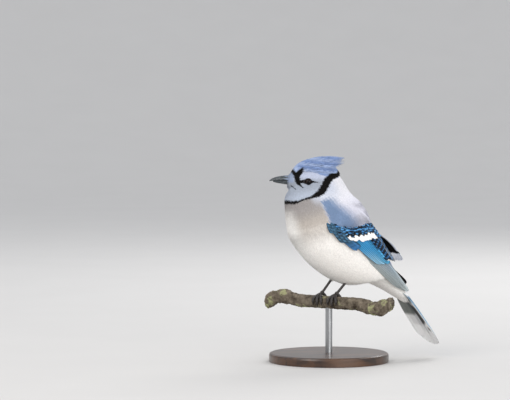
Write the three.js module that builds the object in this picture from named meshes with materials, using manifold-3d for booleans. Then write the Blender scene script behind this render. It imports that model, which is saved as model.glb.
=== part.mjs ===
// A blue jay on a cut length of branch, held over a round base by one short rod.
// Millimetres, +Z up. The bird faces -Y, its left side is +X, the origin is the centre of the
// base's underside. The head is turned to the bird's right and the tail is rolled a little.
import * as THREE from 'three';
import { mergeVertices } from 'three/addons/utils/BufferGeometryUtils.js';
import Module from 'manifold-3d';

const wasm = await Module();
wasm.setup();

const { degToRad, lerp, smoothstep } = THREE.MathUtils;

// Driving sizes
const gap = 0.3; // clearance between pieces that touch
const headTurn = degToRad(-18); // head to the bird's right
const headPivotY = -11.6; // the neck's axis, about which the head turns
const neckLow = 140; // heights between which the turn builds up
const neckHigh = 172;
const tailRoll = degToRad(-14); // underside turned to the bird's left
const perchTop = 66; // height of the branch under the toes
const perchRadius = 6.6;
const perchLength = 150;
const perchHeading = degToRad(35); // from +X towards +Y
const footSpacing = 18;
const rodRadius = 3.5;
const baseRadius = 60;
const baseHeight = 9;

// Trunk stations from the top of the neck to the undertail coverts: the point on the back and
// the point on the belly, both as [y, z], and the half width.
const trunk = [
  { back: [3.4, 194], belly: [-36, 180], half: 13 },
  { back: [12.4, 185], belly: [-45.5, 166], half: 20.5 },
  { back: [22, 170], belly: [-46.5, 152], half: 28 },
  { back: [32, 160.5], belly: [-45.5, 139], half: 33 },
  { back: [40, 149], belly: [-42, 125], half: 36 },
  { back: [47, 133], belly: [-32.5, 110], half: 36.5 },
  { back: [55, 118], belly: [-20, 96.5], half: 34.5 },
  { back: [62.5, 105], belly: [-3.5, 84.5], half: 30.5 },
  { back: [69, 93], belly: [15.8, 77], half: 25 },
  { back: [74, 84], belly: [34.7, 79], half: 19 },
  { back: [79, 75], belly: [51.5, 73], half: 14 },
  { back: [84.5, 65.5], belly: [69.4, 63], half: 10 },
  { back: [89, 57.5], belly: [81, 56], half: 5 },
];
const tailStation = 9.4; // where the trunk is parted from the tail
const rollStation = 7.5; // where the tail's roll begins
const trunkSides = 26;

// Head stations from the bill's base to the nape: y, top and bottom heights, half width.
const skull = [
  { y: -42.5, top: 186, bottom: 174, half: 4.4 },
  { y: -38.6, top: 190, bottom: 171, half: 8 },
  { y: -33.6, top: 194.3, bottom: 168, half: 10.8 },
  { y: -26.6, top: 198.8, bottom: 165.5, half: 13.2 },
  { y: -18.6, top: 201.5, bottom: 163, half: 14.8 },
  { y: -10.6, top: 202.3, bottom: 163, half: 15.2 },
  { y: -2.6, top: 200.8, bottom: 165, half: 14 },
  { y: 4.4, top: 197, bottom: 169, half: 11 },
  { y: 9.4, top: 191, bottom: 175, half: 6 },
];
const skullSides = 20;
const billHeight = 182; // of the bill's axis at its base

const eyeY = -21.4;
const eyeZ = 181;
const eyeSkinX = 14.1; // half width of the head at the eyes
const eyeRadius = 4.4;
const eyeHeight = 0.86; // of its width
const eyeDepth = 3.1; // from the skin to the eye's centre
const lidRadius = 3.9;
const lidTube = 0.8;
const lidLong = 1.08; // the lid's ring is drawn out along the head
const lidHigh = 0.8;

// Basic helpers
const vec = (x, y, z) => new THREE.Vector3(x, y, z);

// Turn a point of the head about the neck's axis, less and less down the neck.
function turnHead(point) {
  const angle = headTurn * smoothstep(point.z, neckLow, neckHigh);
  const axis = vec(0, headPivotY, 0);
  return point.sub(axis).applyAxisAngle(vec(0, 0, 1), angle).add(axis);
}

// A closed tube through rings of equal count, with a fan over each end.
function loft(rings) {
  const around = rings[0].length;
  const points = rings.flat();
  const faces = [];
  for (let ring = 0; ring < rings.length - 1; ring += 1) {
    for (let i = 0; i < around; i += 1) {
      const a = ring * around + i;
      const b = ring * around + ((i + 1) % around);
      faces.push(a, b, b + around, a, b + around, a + around);
    }
  }
  const middleOf = (ring) =>
    ring.reduce((sum, p) => sum.add(p), vec(0, 0, 0)).divideScalar(ring.length);
  const last = (rings.length - 1) * around;
  points.push(middleOf(rings[0]), middleOf(rings[rings.length - 1]));
  for (let i = 0; i < around; i += 1) {
    const next = (i + 1) % around;
    faces.push(points.length - 2, next, i, points.length - 1, last + i, last + next);
  }
  const geometry = new THREE.BufferGeometry().setFromPoints(points);
  geometry.setIndex(faces);
  return toSolid(geometry);
}

// Six times the signed volume of an indexed mesh.
function signedVolume(positions, index) {
  const corner = (i) => vec().fromArray(positions, index[i] * 3);
  let sum = 0;
  for (let i = 0; i < index.length; i += 3) {
    sum += corner(i).dot(corner(i + 1).cross(corner(i + 2)));
  }
  return sum;
}

function toSolid(geometry, weld = 1e-5) {
  geometry.deleteAttribute('normal');
  geometry.deleteAttribute('uv');
  const merged = mergeVertices(geometry, weld);
  const vertProperties = new Float32Array(merged.attributes.position.array);
  const triVerts = new Uint32Array(merged.index.array);
  if (signedVolume(vertProperties, triVerts) < 0) triVerts.reverse();
  return new wasm.Manifold(new wasm.Mesh({ numProp: 3, vertProperties, triVerts }));
}

const join = (solids) => solids.reduce((sum, solid) => sum.add(solid));
const cut = (solid, tools) => tools.reduce((rest, tool) => rest.subtract(tool), solid);

function rawGeometry(solid) {
  const { vertProperties, triVerts } = solid.getMesh();
  const geometry = new THREE.BufferGeometry();
  geometry.setAttribute('position', new THREE.BufferAttribute(vertProperties, 3));
  geometry.setIndex(new THREE.BufferAttribute(triVerts, 1));
  return geometry;
}

// The largest closed surface of a solid, as a three.js geometry. Corners closer than the weld
// distance are one corner first, so that a scrap held by a hair's breadth comes off as well.
function toGeometry(solid) {
  const weld = 2e-3;
  const pieces = toSolid(rawGeometry(solid), weld).decompose();
  const best = pieces.reduce((a, b) => (b.volume() > a.volume() ? b : a));
  const geometry = rawGeometry(best);
  geometry.computeVertexNormals();
  return geometry;
}

// A block that fills the half of space on the side that the normal points to.
function halfSpace(point, normal) {
  const size = 600;
  const box = new THREE.BoxGeometry(size, size, size);
  box.translate(0, 0, size / 2);
  const turn = new THREE.Quaternion().setFromUnitVectors(vec(0, 0, 1), normal.clone().normalize());
  box.applyQuaternion(turn);
  box.translate(point.x, point.y, point.z);
  return toSolid(box);
}

// An oval ring about a centre, with separate reach up and down.
function oval(centre, side, up, halfWidth, above, below, count) {
  const ring = [];
  for (let i = 0; i < count; i += 1) {
    const angle = (i / count) * Math.PI * 2;
    const reach = Math.cos(angle) > 0 ? above : below;
    ring.push(
      centre.clone()
        .addScaledVector(up, Math.cos(angle) * reach)
        .addScaledVector(side, Math.sin(angle) * halfWidth),
    );
  }
  return ring;
}

// A tapered round rod through points, with a radius at each.
function limb(points, radii, sides) {
  const rings = points.map((point, i) => {
    const before = points[Math.max(i - 1, 0)];
    const after = points[Math.min(i + 1, points.length - 1)];
    const along = after.clone().sub(before).normalize();
    const side = vec(along.z, along.x, along.y).cross(along).normalize();
    const up = side.clone().cross(along);
    return oval(point, side, up, radii[i], radii[i], radii[i], sides);
  });
  return loft(rings);
}

// Trunk
const curveOf = (points) => new THREE.CatmullRomCurve3(points, false, 'catmullrom', 0.5);
const backLine = curveOf(trunk.map(({ back }) => vec(0, ...back)));
const bellyLine = curveOf(trunk.map(({ belly }) => vec(0, ...belly)));
const halfLine = curveOf(trunk.map(({ half }, i) => vec(half, i, 0)));
const lastStation = trunk.length - 1;

// A point of the trunk's surface: station, angle from the back (90 degrees is the left side)
// and lift off the surface.
function trunkPoint(station, angle, lift = 0) {
  const t = station / lastStation;
  const back = backLine.getPoint(t);
  const belly = bellyLine.getPoint(t);
  const centre = back.clone().add(belly).multiplyScalar(0.5);
  const up = back.sub(belly).multiplyScalar(0.5);
  const point = up.clone().multiplyScalar(Math.cos(angle) * (1 + lift / up.length()));
  point.x += Math.sin(angle) * (halfLine.getPoint(t).x + lift);
  const roll = tailRoll * smoothstep(station, rollStation, lastStation);
  point.applyAxisAngle(tailAlong, roll);
  return turnHead(point.add(centre));
}

// Tail
const tailRoot = vec(0, 64, 87);
const tailTip = vec(0, 116, 13);
const tailLength = tailTip.distanceTo(tailRoot);
const tailAlong = tailTip.clone().sub(tailRoot).normalize();
const tailUp = vec(1, 0, 0).cross(tailAlong);

function trunkLoft(grow) {
  const rings = [];
  for (let station = 0; station <= lastStation; station += 0.5) {
    const ring = [];
    for (let i = 0; i < trunkSides; i += 1) {
      ring.push(trunkPoint(station, (i / trunkSides) * Math.PI * 2, grow));
    }
    rings.push(ring);
  }
  return loft(rings);
}

function skullLoft(grow) {
  const rings = skull.map(({ y, top, bottom, half }) => {
    const reach = (top - bottom) / 2 + grow;
    const centre = vec(0, y, (top + bottom) / 2);
    const ring = oval(centre, vec(1, 0, 0), vec(0, 0, 1), half + grow, reach, reach, skullSides);
    return ring.map(turnHead);
  });
  return loft(rings);
}

// Vanes
// A flat tapered feather from root to tip. frameAt gives its centre, the way across and the way
// out at a part of its length; width is its half width where it is widest.
const vaneParts = [0, 0.4, 0.75, 0.93, 1];
const vaneWidths = [0.55, 0.9, 1, 0.72, 0.3];
const vaneThickness = 0.6;
const vaneCrown = 0.35; // how far the shaft stands over the edges

function vane(frameAt, width, grow, parts = vaneParts, widths = vaneWidths, crowned = false) {
  const rings = parts.map((part, i) => {
    const { centre, across, out } = frameAt(part);
    const half = width * widths[i] + grow;
    const spot = (side, lift) =>
      centre.clone().addScaledVector(across, side * half).addScaledVector(out, lift);
    const top = vaneThickness / 2 + grow;
    if (!crowned) return [spot(-1, top), spot(1, top), spot(1, -top), spot(-1, -top)];
    return [
      spot(-1, top), spot(0, top + vaneCrown), spot(1, top),
      spot(1, -top), spot(0, vaneCrown - top), spot(-1, -top),
    ];
  });
  return loft(rings);
}

// Tail: twelve feathers, the middle pair on top, each next pair lower and further out.
const tailPairs = 6;
const tailFeatherWidth = 5.8;
const tailMiddle = 0.8; // from the middle of the tail to the first shaft
const tailRootSpread = 0.6; // at the root, from one pair to the next
const tailSpread = 1.9; // at the tip
const tailFan = degToRad(2.5); // further tilt of each pair
const tailLayer = 0.75;
const tailRootLift = 2;
const tailRounding = 1.6; // how fast the pairs get shorter

function tailFeather(pair, side, grow) {
  const shorter = 1 - (pair * pair * tailRounding) / (tailLength * 3);
  const frameAt = (part) => {
    const t = part * shorter;
    const roll = tailRoll * smoothstep(t, 0, 0.5);
    const turn = roll + side * tailFan * pair;
    const aside = side * (tailMiddle + pair * lerp(tailRootSpread, tailSpread, t));
    const high = tailRootLift - pair * tailLayer - (side < 0 ? tailLayer / 2 : 0);
    const centre = tailRoot.clone().addScaledVector(tailTip.clone().sub(tailRoot), t);
    centre.add(vec(aside, 0, 0).addScaledVector(tailUp, high).applyAxisAngle(tailAlong, roll));
    return {
      centre,
      across: vec(1, 0, 0).applyAxisAngle(tailAlong, turn),
      out: tailUp.clone().applyAxisAngle(tailAlong, turn),
    };
  };
  return vane(frameAt, tailFeatherWidth, grow, vaneParts, vaneWidths, true);
}

function tailFeathers(grow) {
  const feathers = [];
  for (let pair = 0; pair < tailPairs; pair += 1) {
    for (const side of [1, -1]) feathers.push(tailFeather(pair, side, grow));
  }
  return join(feathers);
}

// Wings. A wing lies on the trunk's surface: places on it are a trunk station, an angle from
// the back and a lift. The far wing is raised off the back.
const farWingRaise = 14;
const raiseStations = [3.6, 7]; // between which the raise builds up
const raiseFade = 0.8; // how fast it fades from the back to the side
const vaneTilt = 0.02; // each feather's lower edge goes under the next

function wingPoint(side, station, angle, lift) {
  const point = trunkPoint(station, side * degToRad(angle), lift);
  if (side > 0) return point;
  const raise = farWingRaise * smoothstep(station, ...raiseStations);
  return point.addScaledVector(tailUp, raise * Math.cos(degToRad(angle * raiseFade)));
}

// A wing feather between two places on the wing, each [station, angle, lift].
function wingFeather(side, root, tip, width, parts, widths) {
  const place = (part, turn = 0) => {
    const [station, angle, lift] = root.map((value, i) => lerp(value, tip[i], part));
    return wingPoint(side, station, angle + turn, lift);
  };
  const frameAt = (part) => {
    const centre = place(part);
    const along = place(Math.min(part + 0.02, 1)).sub(place(Math.max(part - 0.02, 0)));
    const across = place(part, 1).sub(place(part, -1)).normalize();
    const out = along.cross(across).multiplyScalar(side).normalize();
    return { centre, across: across.addScaledVector(out, -vaneTilt).normalize(), out };
  };
  return vane(frameAt, width, 0, parts, widths);
}

// Tiers from the tip of the wing to the shoulder: count, and the first and last feather's root
// and tip, running from the lower edge of the wing to the back.
const wingTiers = [
  { count: 6, root: [[4.7, 85, 1.0], [5.4, 60, 1.6]], tip: [[9.6, 62, 0.9], [10.9, 50, 2.2]], width: 4.6 },
  { count: 6, root: [[4.6, 80, 1.6], [4.8, 40, 2.4]], tip: [[8.6, 66, 1.8], [8.5, 38, 2.8]], width: 5.4 },
  { count: 3, root: [[4.6, 42, 2.6], [4.6, 28, 3.2]], tip: [[8.6, 36, 3.2], [7.5, 26, 3.6]], width: 6 },
  { count: 6, root: [[4.3, 94, 1.9], [4.2, 30, 3.2]], tip: [[5.7, 90, 2.4], [5.9, 30, 4]], width: 6.4 },
  { count: 5, root: [[3.7, 88, 2.2], [3.6, 36, 3.2]], tip: [[4.8, 92, 2.8], [4.9, 36, 4.2]], width: 7 },
];
const covertParts = [0, 0.6, 0.88, 1];
const covertWidths = [0.8, 1, 0.8, 0.35];
const shoulderStations = [2.7, 3.2, 3.8, 4.6, 5.4, 6.1];
const shoulderHigh = [50, 38, 32, 27, 26, 28];
const shoulderLow = [62, 78, 90, 96, 88, 78];
const shoulderLift = 0.6; // of the arm's inner face off the trunk
const shoulderEdge = 0.9; // thickness at its edges
const shoulderSwell = 2.2; // further thickness in the middle

// The arm under the coverts, which binds the feathers' roots.
function shoulder(side) {
  const across = 8;
  const rings = shoulderStations.map((station, row) => {
    const outer = [];
    const inner = [];
    const swell = Math.sin(((row + 0.5) / shoulderStations.length) * Math.PI);
    for (let i = 0; i <= across; i += 1) {
      const part = i / across;
      const angle = lerp(shoulderHigh[row], shoulderLow[row], part);
      const thick = shoulderEdge + shoulderSwell * Math.sin(part * Math.PI) * swell;
      outer.push(wingPoint(side, station, angle, shoulderLift + thick));
      inner.unshift(wingPoint(side, station, angle, shoulderLift));
    }
    return [...outer, ...inner];
  });
  return loft(rings);
}

function wingFeathers(side) {
  const feathers = [];
  wingTiers.forEach(({ count, root, tip, width }, tier) => {
    const covert = tier > 2;
    for (let i = 0; i < count; i += 1) {
      const part = i / (count - 1);
      const between = ([first, last]) => first.map((value, k) => lerp(value, last[k], part));
      feathers.push(wingFeather(side, between(root), between(tip), width,
        covert ? covertParts : vaneParts, covert ? covertWidths : vaneWidths));
    }
  });
  return feathers;
}

// Crest. A cap over the crown between a top line and a lower line on each side; a place on it
// is a part of the way back, a part of the way down the side (-1 to 1) and a lift.
const crownTop = curveOf([[-39, 190.5], [-33, 197.3], [-24, 202], [-12, 205], [2, 205.6], [16.5, 204]]
  .map(([y, z]) => vec(0, y, z)));
const crownEdge = curveOf([[5, -39, 187.5], [9.5, -33, 190], [13, -24, 191.5], [14.5, -12, 190.5],
  [12, 0, 188], [8.5, 9, 187.5]].map((spot) => vec(...spot)));

function crownPoint(back, down, lift) {
  const top = crownTop.getPoint(back);
  const edge = crownEdge.getPoint(back);
  const angle = down * Math.PI / 2;
  const high = Math.cos(angle);
  return turnHead(vec(
    (edge.x + lift) * Math.sin(angle),
    lerp(edge.y, top.y, high),
    edge.z + (top.z - edge.z + lift) * high,
  ));
}

const crestRows = 3;
const crestColumns = 6;
const crestLength = 0.44; // of the way from forehead to tips
const crestRootDepth = [1.4, 3.4, 4.5]; // of each row's roots
const crestTipLift = 0.4;
const crestStart = 0.07; // of the first row's roots
const crestWidth = 3.9;
const crestParts = [0, 0.5, 0.82, 1];
const crestWidths = [0.7, 1, 0.75, 0.2];
const crestCoreParts = [0.2, 0.34, 0.5, 0.66, 0.82];
const crestCoreDepth = 2; // of the core's top under the crown
const crestCoreBottom = 11;

// Narrow feathers in rows over a core that fills the crown.
function crest() {
  const coreRings = crestCoreParts.map((back) => {
    const ring = [];
    for (let i = 0; i <= 8; i += 1) ring.push(crownPoint(back, i / 4 - 1, -crestCoreDepth));
    const bottom = [0.7, -0.7].map((down) => crownPoint(back, down, -crestCoreBottom));
    return [...ring, ...bottom];
  });
  const feathers = [loft(coreRings)];
  for (let row = 0; row < crestRows; row += 1) {
    for (let column = 0; column < crestColumns; column += 1) {
      const down = ((column + (row % 2) * 0.3) / (crestColumns - 0.7)) * 2 - 1;
      const start = lerp(crestStart, 1 - crestLength, row / (crestRows - 1));
      const place = (part, turn = 0) => {
        const lift = lerp(-crestRootDepth[row], crestTipLift, Math.sqrt(part));
        return crownPoint(start + part * crestLength, down + turn, lift);
      };
      const frameAt = (part) => {
        const across = place(part, 0.03).sub(place(part, -0.03)).normalize();
        const along = place(Math.min(part + 0.04, 1)).sub(place(Math.max(part - 0.04, 0)));
        return { centre: place(part), across, out: across.clone().cross(along).normalize() };
      };
      feathers.push(vane(frameAt, crestWidth, 0, crestParts, crestWidths));
    }
  }
  return join(feathers);
}

// Bristles that lie over the bill's base and cover the nostrils.
const bristleTurns = [-62, -22, 22, 62]; // degrees from the top of the bill
const bristleRootY = -38;
const bristleTipY = -49;
const bristleWidth = 2.2;

function nasalTufts() {
  const tufts = bristleTurns.map((degrees) => {
    const angle = degToRad(degrees);
    const out = vec(Math.sin(angle), 0, Math.cos(angle)).applyAxisAngle(vec(0, 0, 1), headTurn);
    const across = vec(0, 1, 0).applyAxisAngle(vec(0, 0, 1), headTurn).cross(out);
    const frameAt = (part) => {
      const reach = lerp(3.4, 5, Math.sin(part * Math.PI * 0.6)) - 0.8 * part;
      const y = lerp(bristleRootY, bristleTipY, part);
      const spot = vec(Math.sin(angle) * reach * 0.95, y, billHeight + Math.cos(angle) * reach);
      return { centre: turnHead(spot), across, out };
    };
    return vane(frameAt, bristleWidth, 0, [0, 0.5, 0.85, 1], [0.8, 1, 0.7, 0.2]);
  });
  return join(tufts);
}

// Bill
function billLoft(stations, grow) {
  return loft(stations.map(([y, z, half, above, below]) =>
    oval(vec(0, y, z), vec(1, 0, 0), vec(0, 0, 1), half + grow, above + grow, below + grow, 12)
      .map(turnHead)));
}
const upperBill = [
  [-33, 182, 4.6, 5.2, 0.3],
  [-40, 182, 4.4, 5, 0.3],
  [-46, 181.9, 3.7, 4.6, 0.3],
  [-52, 181.8, 2.7, 3.9, 0.3],
  [-57, 181.7, 1.6, 2.4, 0.3],
  [-60.2, 181.2, 0.5, 0.8, 0.3],
];
const lowerBill = [
  [-34, 181, 4.4, 0.2, 4],
  [-40, 181, 4.2, 0.2, 3.6],
  [-46, 181, 3.4, 0.2, 2.9],
  [-52, 181, 2.4, 0.2, 1.9],
  [-56.5, 181, 1.2, 0.2, 0.8],
];

// Eyes
function eyeBall(side, grow) {
  const ball = new THREE.SphereGeometry(eyeRadius + grow, 14, 9);
  ball.scale(1, 1, eyeHeight);
  const centre = turnHead(vec(side * (eyeSkinX - eyeDepth), eyeY, eyeZ));
  ball.rotateZ(headTurn);
  ball.translate(centre.x, centre.y, centre.z);
  return toSolid(ball);
}

function lid(side) {
  const ring = new THREE.TorusGeometry(lidRadius, lidTube, 5, 18);
  ring.scale(lidLong, lidHigh, 1);
  ring.rotateX(Math.PI / 2);
  ring.rotateZ(Math.PI / 2);
  const centre = turnHead(vec(side * eyeSkinX, eyeY, eyeZ));
  ring.rotateZ(headTurn);
  ring.translate(centre.x, centre.y, centre.z);
  return toSolid(ring);
}

// Perch
const perchAlong = vec(Math.cos(perchHeading), Math.sin(perchHeading), 0);
const perchAcross = vec(Math.sin(perchHeading), -Math.cos(perchHeading), 0);
const perchAxis = perchTop - perchRadius;
const perchStraight = 22; // half the length that stays straight under the feet
const perchSway = 5; // rise and fall of its ends
const perchKnob = 0.9; // swelling of its ends

function perchSpot(along, rise = 0) {
  return perchAlong.clone().multiplyScalar(along).add(vec(0, 0, perchAxis + rise));
}

function perchLoft(grow) {
  const steps = 22;
  const half = perchLength / 2;
  const points = [];
  const radii = [];
  for (let i = 0; i <= steps; i += 1) {
    const along = lerp(-half, half, i / steps);
    const bend = smoothstep(Math.abs(along), perchStraight, half);
    points.push(perchSpot(along, bend * perchSway * Math.sin(along * 0.09)));
    radii.push(perchRadius + bend * perchKnob * (1 + Math.sin(along * 0.32)) + grow);
  }
  return limb(points, radii, 12);
}

// Feet: three toes forward and one back round the perch, each with its claw. Lengths are
// radians round the perch.
const toes = [
  { forward: 1, spread: 0, length: 2.15, radius: 1.5 },
  { forward: 1, spread: 5, length: 1.95, radius: 1.4 },
  { forward: 1, spread: -5, length: 1.95, radius: 1.4 },
  { forward: -1, spread: 0, length: 2.1, radius: 1.6 },
];
const clawStart = 0.72; // of a toe's length
const clawReach = 0.9; // of a claw's axis off the bark
const clawRadius = 0.3; // at its tip
const ankleRadius = 2.1;
const shankRadii = [1.35, 1.3, 1.7];

function toe(at, { forward, spread, length, radius }) {
  const points = [];
  const radii = [];
  const steps = 6;
  for (let i = 0; i <= steps; i += 1) {
    const part = i / steps;
    const angle = part * length;
    const claw = smoothstep(part, clawStart, 1);
    const reach = perchRadius + gap + 0.1 + lerp(radius, clawReach, claw);
    points.push(
      perchSpot(at + spread * smoothstep(part, 0, 0.7))
        .addScaledVector(perchAcross, forward * Math.sin(angle) * reach)
        .add(vec(0, 0, Math.cos(angle) * reach)),
    );
    radii.push(lerp(radius, clawRadius, claw));
  }
  return limb(points, radii, 6);
}

const anklePoint = (side) =>
  perchSpot(side * footSpacing / 2).addScaledVector(perchAcross, -1).add(vec(0, 0, perchRadius + 2.6));
const heelPoint = (side) => anklePoint(side).add(vec(side * 3, 17, 21));

function foot(side) {
  const at = side * footSpacing / 2;
  const ankle = anklePoint(side);
  const ball = new THREE.SphereGeometry(ankleRadius, 10, 8);
  ball.translate(ankle.x, ankle.y, ankle.z);
  return join([toSolid(ball), ...toes.map((shape) => toe(at, shape))]);
}

function leg(side) {
  const ankle = anklePoint(side);
  const heel = heelPoint(side);
  const along = heel.clone().sub(ankle).normalize();
  const start = ankle.clone().addScaledVector(along, ankleRadius + gap);
  return limb([start, start.clone().lerp(heel, 0.5), heel], shankRadii, 8);
}

// Stand
function rod(grow) {
  const bottom = 4;
  const top = perchAxis - 1;
  const cylinder = new THREE.CylinderGeometry(rodRadius + grow, rodRadius + grow, top - bottom + 2 * grow, 24);
  cylinder.rotateX(Math.PI / 2);
  cylinder.translate(0, 0, (top + bottom) / 2);
  return toSolid(cylinder);
}

function base() {
  const bevel = 2;
  const profile = [
    new THREE.Vector2(0, 0),
    new THREE.Vector2(baseRadius, 0),
    new THREE.Vector2(baseRadius, baseHeight - bevel),
    new THREE.Vector2(baseRadius - bevel, baseHeight),
    new THREE.Vector2(0, baseHeight),
  ];
  const disc = new THREE.LatheGeometry(profile, 40);
  disc.rotateX(Math.PI / 2);
  return cut(toSolid(disc), [rod(gap)]);
}

// Parting planes
const neckPoint = vec(0, -10, 161.5);
const neckNormal = vec(0, -0.45, 0.9);
const collarPoint = vec(0, -13, 172);
const collarNormal = vec(0.15, -0.5, 0.85);
function stationPlane(station) {
  const t = station / lastStation;
  const point = backLine.getPoint(t).add(bellyLine.getPoint(t)).multiplyScalar(0.5);
  return { point, normal: tailAlong.clone() };
}
const rump = stationPlane(tailStation);
const shifted = (point, normal, by) =>
  point.clone().addScaledVector(normal.clone().normalize(), by);

const wholeTrunk = trunkLoft(0);
const grownTrunk = trunkLoft(gap + 0.1);
const wholeHead = join([skullLoft(0), wholeTrunk]);

const headTop = wholeHead.intersect(halfSpace(shifted(collarPoint, collarNormal, gap / 2), collarNormal));
const eyes = [1, -1];
const head = cut(
  join([headTop, crest(), nasalTufts(), ...eyes.map(lid)]),
  [...eyes.map((side) => eyeBall(side, gap)), billLoft(upperBill, gap), billLoft(lowerBill, gap)],
);
const neck = wholeHead
  .subtract(halfSpace(shifted(collarPoint, collarNormal, -gap / 2), collarNormal))
  .intersect(halfSpace(shifted(neckPoint, neckNormal, gap / 2), neckNormal));
const torso = wholeTrunk
  .subtract(halfSpace(shifted(neckPoint, neckNormal, -gap / 2), neckNormal))
  .subtract(halfSpace(shifted(rump.point, rump.normal, -gap / 2), rump.normal));
const behindRump = halfSpace(shifted(rump.point, rump.normal, gap / 2), rump.normal);
const tail = join([wholeTrunk, tailFeathers(0)]).intersect(behindRump);
const clearOfWings = [grownTrunk, tailFeathers(gap)];
const wing = (side) => cut(join([shoulder(side), ...wingFeathers(side)]), clearOfWings);

const colours = {
  blue: 0x6f86c0,
  white: 0xe4e1e2,
  horn: 0x3b4248,
  eye: 0x14100f,
  bark: 0x7a6a58,
  stand: 0x2b2a28,
};
const material = (color, roughness) => new THREE.MeshStandardMaterial({ color, roughness, metalness: 0 });

const model = new THREE.Group();
function place(name, solid, color, roughness) {
  const mesh = new THREE.Mesh(toGeometry(solid), material(color, roughness));
  mesh.name = name;
  model.add(mesh);
}

place('head', head, colours.blue, 0.9);
place('upper_bill', billLoft(upperBill, 0), colours.horn, 0.45);
place('lower_bill', billLoft(lowerBill, 0), colours.horn, 0.45);
place('neck', neck, colours.white, 0.9);
place('torso', torso, colours.white, 0.9);
place('tail', tail, colours.blue, 0.8);
for (const [name, side] of [['left', 1], ['right', -1]]) {
  place(`${name}_eye`, eyeBall(side, 0), colours.eye, 0.1);
  place(`${name}_wing`, wing(side), colours.blue, 0.8);
  place(`${name}_leg`, leg(side).subtract(grownTrunk), colours.horn, 0.6);
  place(`${name}_foot`, foot(side).subtract(perchLoft(gap)), colours.horn, 0.6);
}
place('perch', cut(perchLoft(0), [rod(gap)]), colours.bark, 0.95);
place('stand_rod', rod(0), colours.stand, 0.4);
place('stand_base', base(), colours.stand, 0.5);

export default model;
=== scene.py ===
# A blue jay as a museum shows it: still, life size, on a cut branch over a plain stand.
# Shapes are worked out in millimetres in the frame's axes and made in metres.
import bpy
import bmesh
import math
import numpy as np
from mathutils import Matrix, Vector


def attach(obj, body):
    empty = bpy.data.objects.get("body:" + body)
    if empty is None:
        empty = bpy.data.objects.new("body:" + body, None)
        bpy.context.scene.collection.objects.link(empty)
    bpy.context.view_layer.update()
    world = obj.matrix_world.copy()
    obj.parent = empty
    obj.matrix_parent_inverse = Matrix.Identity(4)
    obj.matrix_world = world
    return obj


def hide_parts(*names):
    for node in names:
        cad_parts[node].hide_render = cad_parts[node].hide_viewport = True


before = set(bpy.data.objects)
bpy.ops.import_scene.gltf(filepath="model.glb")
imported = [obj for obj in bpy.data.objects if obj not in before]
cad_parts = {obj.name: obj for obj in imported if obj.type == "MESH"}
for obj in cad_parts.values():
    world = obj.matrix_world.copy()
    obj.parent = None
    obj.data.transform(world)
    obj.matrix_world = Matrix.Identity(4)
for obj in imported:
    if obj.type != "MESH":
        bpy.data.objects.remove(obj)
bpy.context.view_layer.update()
mm = 0.001
dice = np.random.default_rng(11)
upward = np.array([0, 0, 1.0])


# Colour and small maths

def linear(hexColour):
    parts = [int(hexColour[i:i + 2], 16) / 255 for i in (1, 3, 5)]
    return np.array([p / 12.92 if p <= 0.04045 else ((p + 0.055) / 1.055) ** 2.4 for p in parts])


def rgba(hexColour):
    return (*linear(hexColour), 1.0)


def smooth(value, low, high):
    part = np.clip((np.asarray(value, float) - low) / (high - low), 0, 1)
    return part * part * (3 - 2 * part)


def mix(first, second, part):
    part = np.asarray(part, float)[..., None]
    return first * (1 - part) + second * part


def unit(vectors):
    return vectors / np.maximum(np.linalg.norm(vectors, axis=-1, keepdims=True), 1e-9)


def turned(vectors, axis, angle):
    axis = np.broadcast_to(np.asarray(axis, float), vectors.shape)
    angle = np.asarray(angle, float)[..., None]
    held = axis * (vectors * axis).sum(-1, keepdims=True) * (1 - np.cos(angle))
    return vectors * np.cos(angle) + np.cross(axis, vectors) * np.sin(angle) + held


def curve(points, at):
    points = np.asarray(points, float)
    at = np.clip(np.asarray(at, float), 0, len(points) - 1)
    ends = np.vstack([2 * points[0] - points[1], points, 2 * points[-1] - points[-2]])
    i = np.minimum(at.astype(int), len(points) - 2)
    t = (at - i)[..., None]
    a, b, c, d = ends[i], ends[i + 1], ends[i + 2], ends[i + 3]
    return 0.5 * (2 * b + (c - a) * t + (2 * a - 5 * b + 4 * c - d) * t * t
                  + (3 * b - a - 3 * c + d) * t ** 3)


# How far a place lies outside a stroke of changing width (points y, z, half width), in millimetres.
def strokeDistance(stroke, y, z):
    best = np.full(np.shape(y), 1e9)
    for (ay, az, aw), (by, bz, bw) in zip(stroke[:-1], stroke[1:]):
        dy, dz = by - ay, bz - az
        part = np.clip(((y - ay) * dy + (z - az) * dz) / (dy * dy + dz * dz), 0, 1)
        away = np.hypot(y - ay - part * dy, z - az - part * dz) - (aw + (bw - aw) * part)
        best = np.minimum(best, away)
    return best


# The bird's form, in millimetres, with trunk, skull and turns as in the solids.

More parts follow.
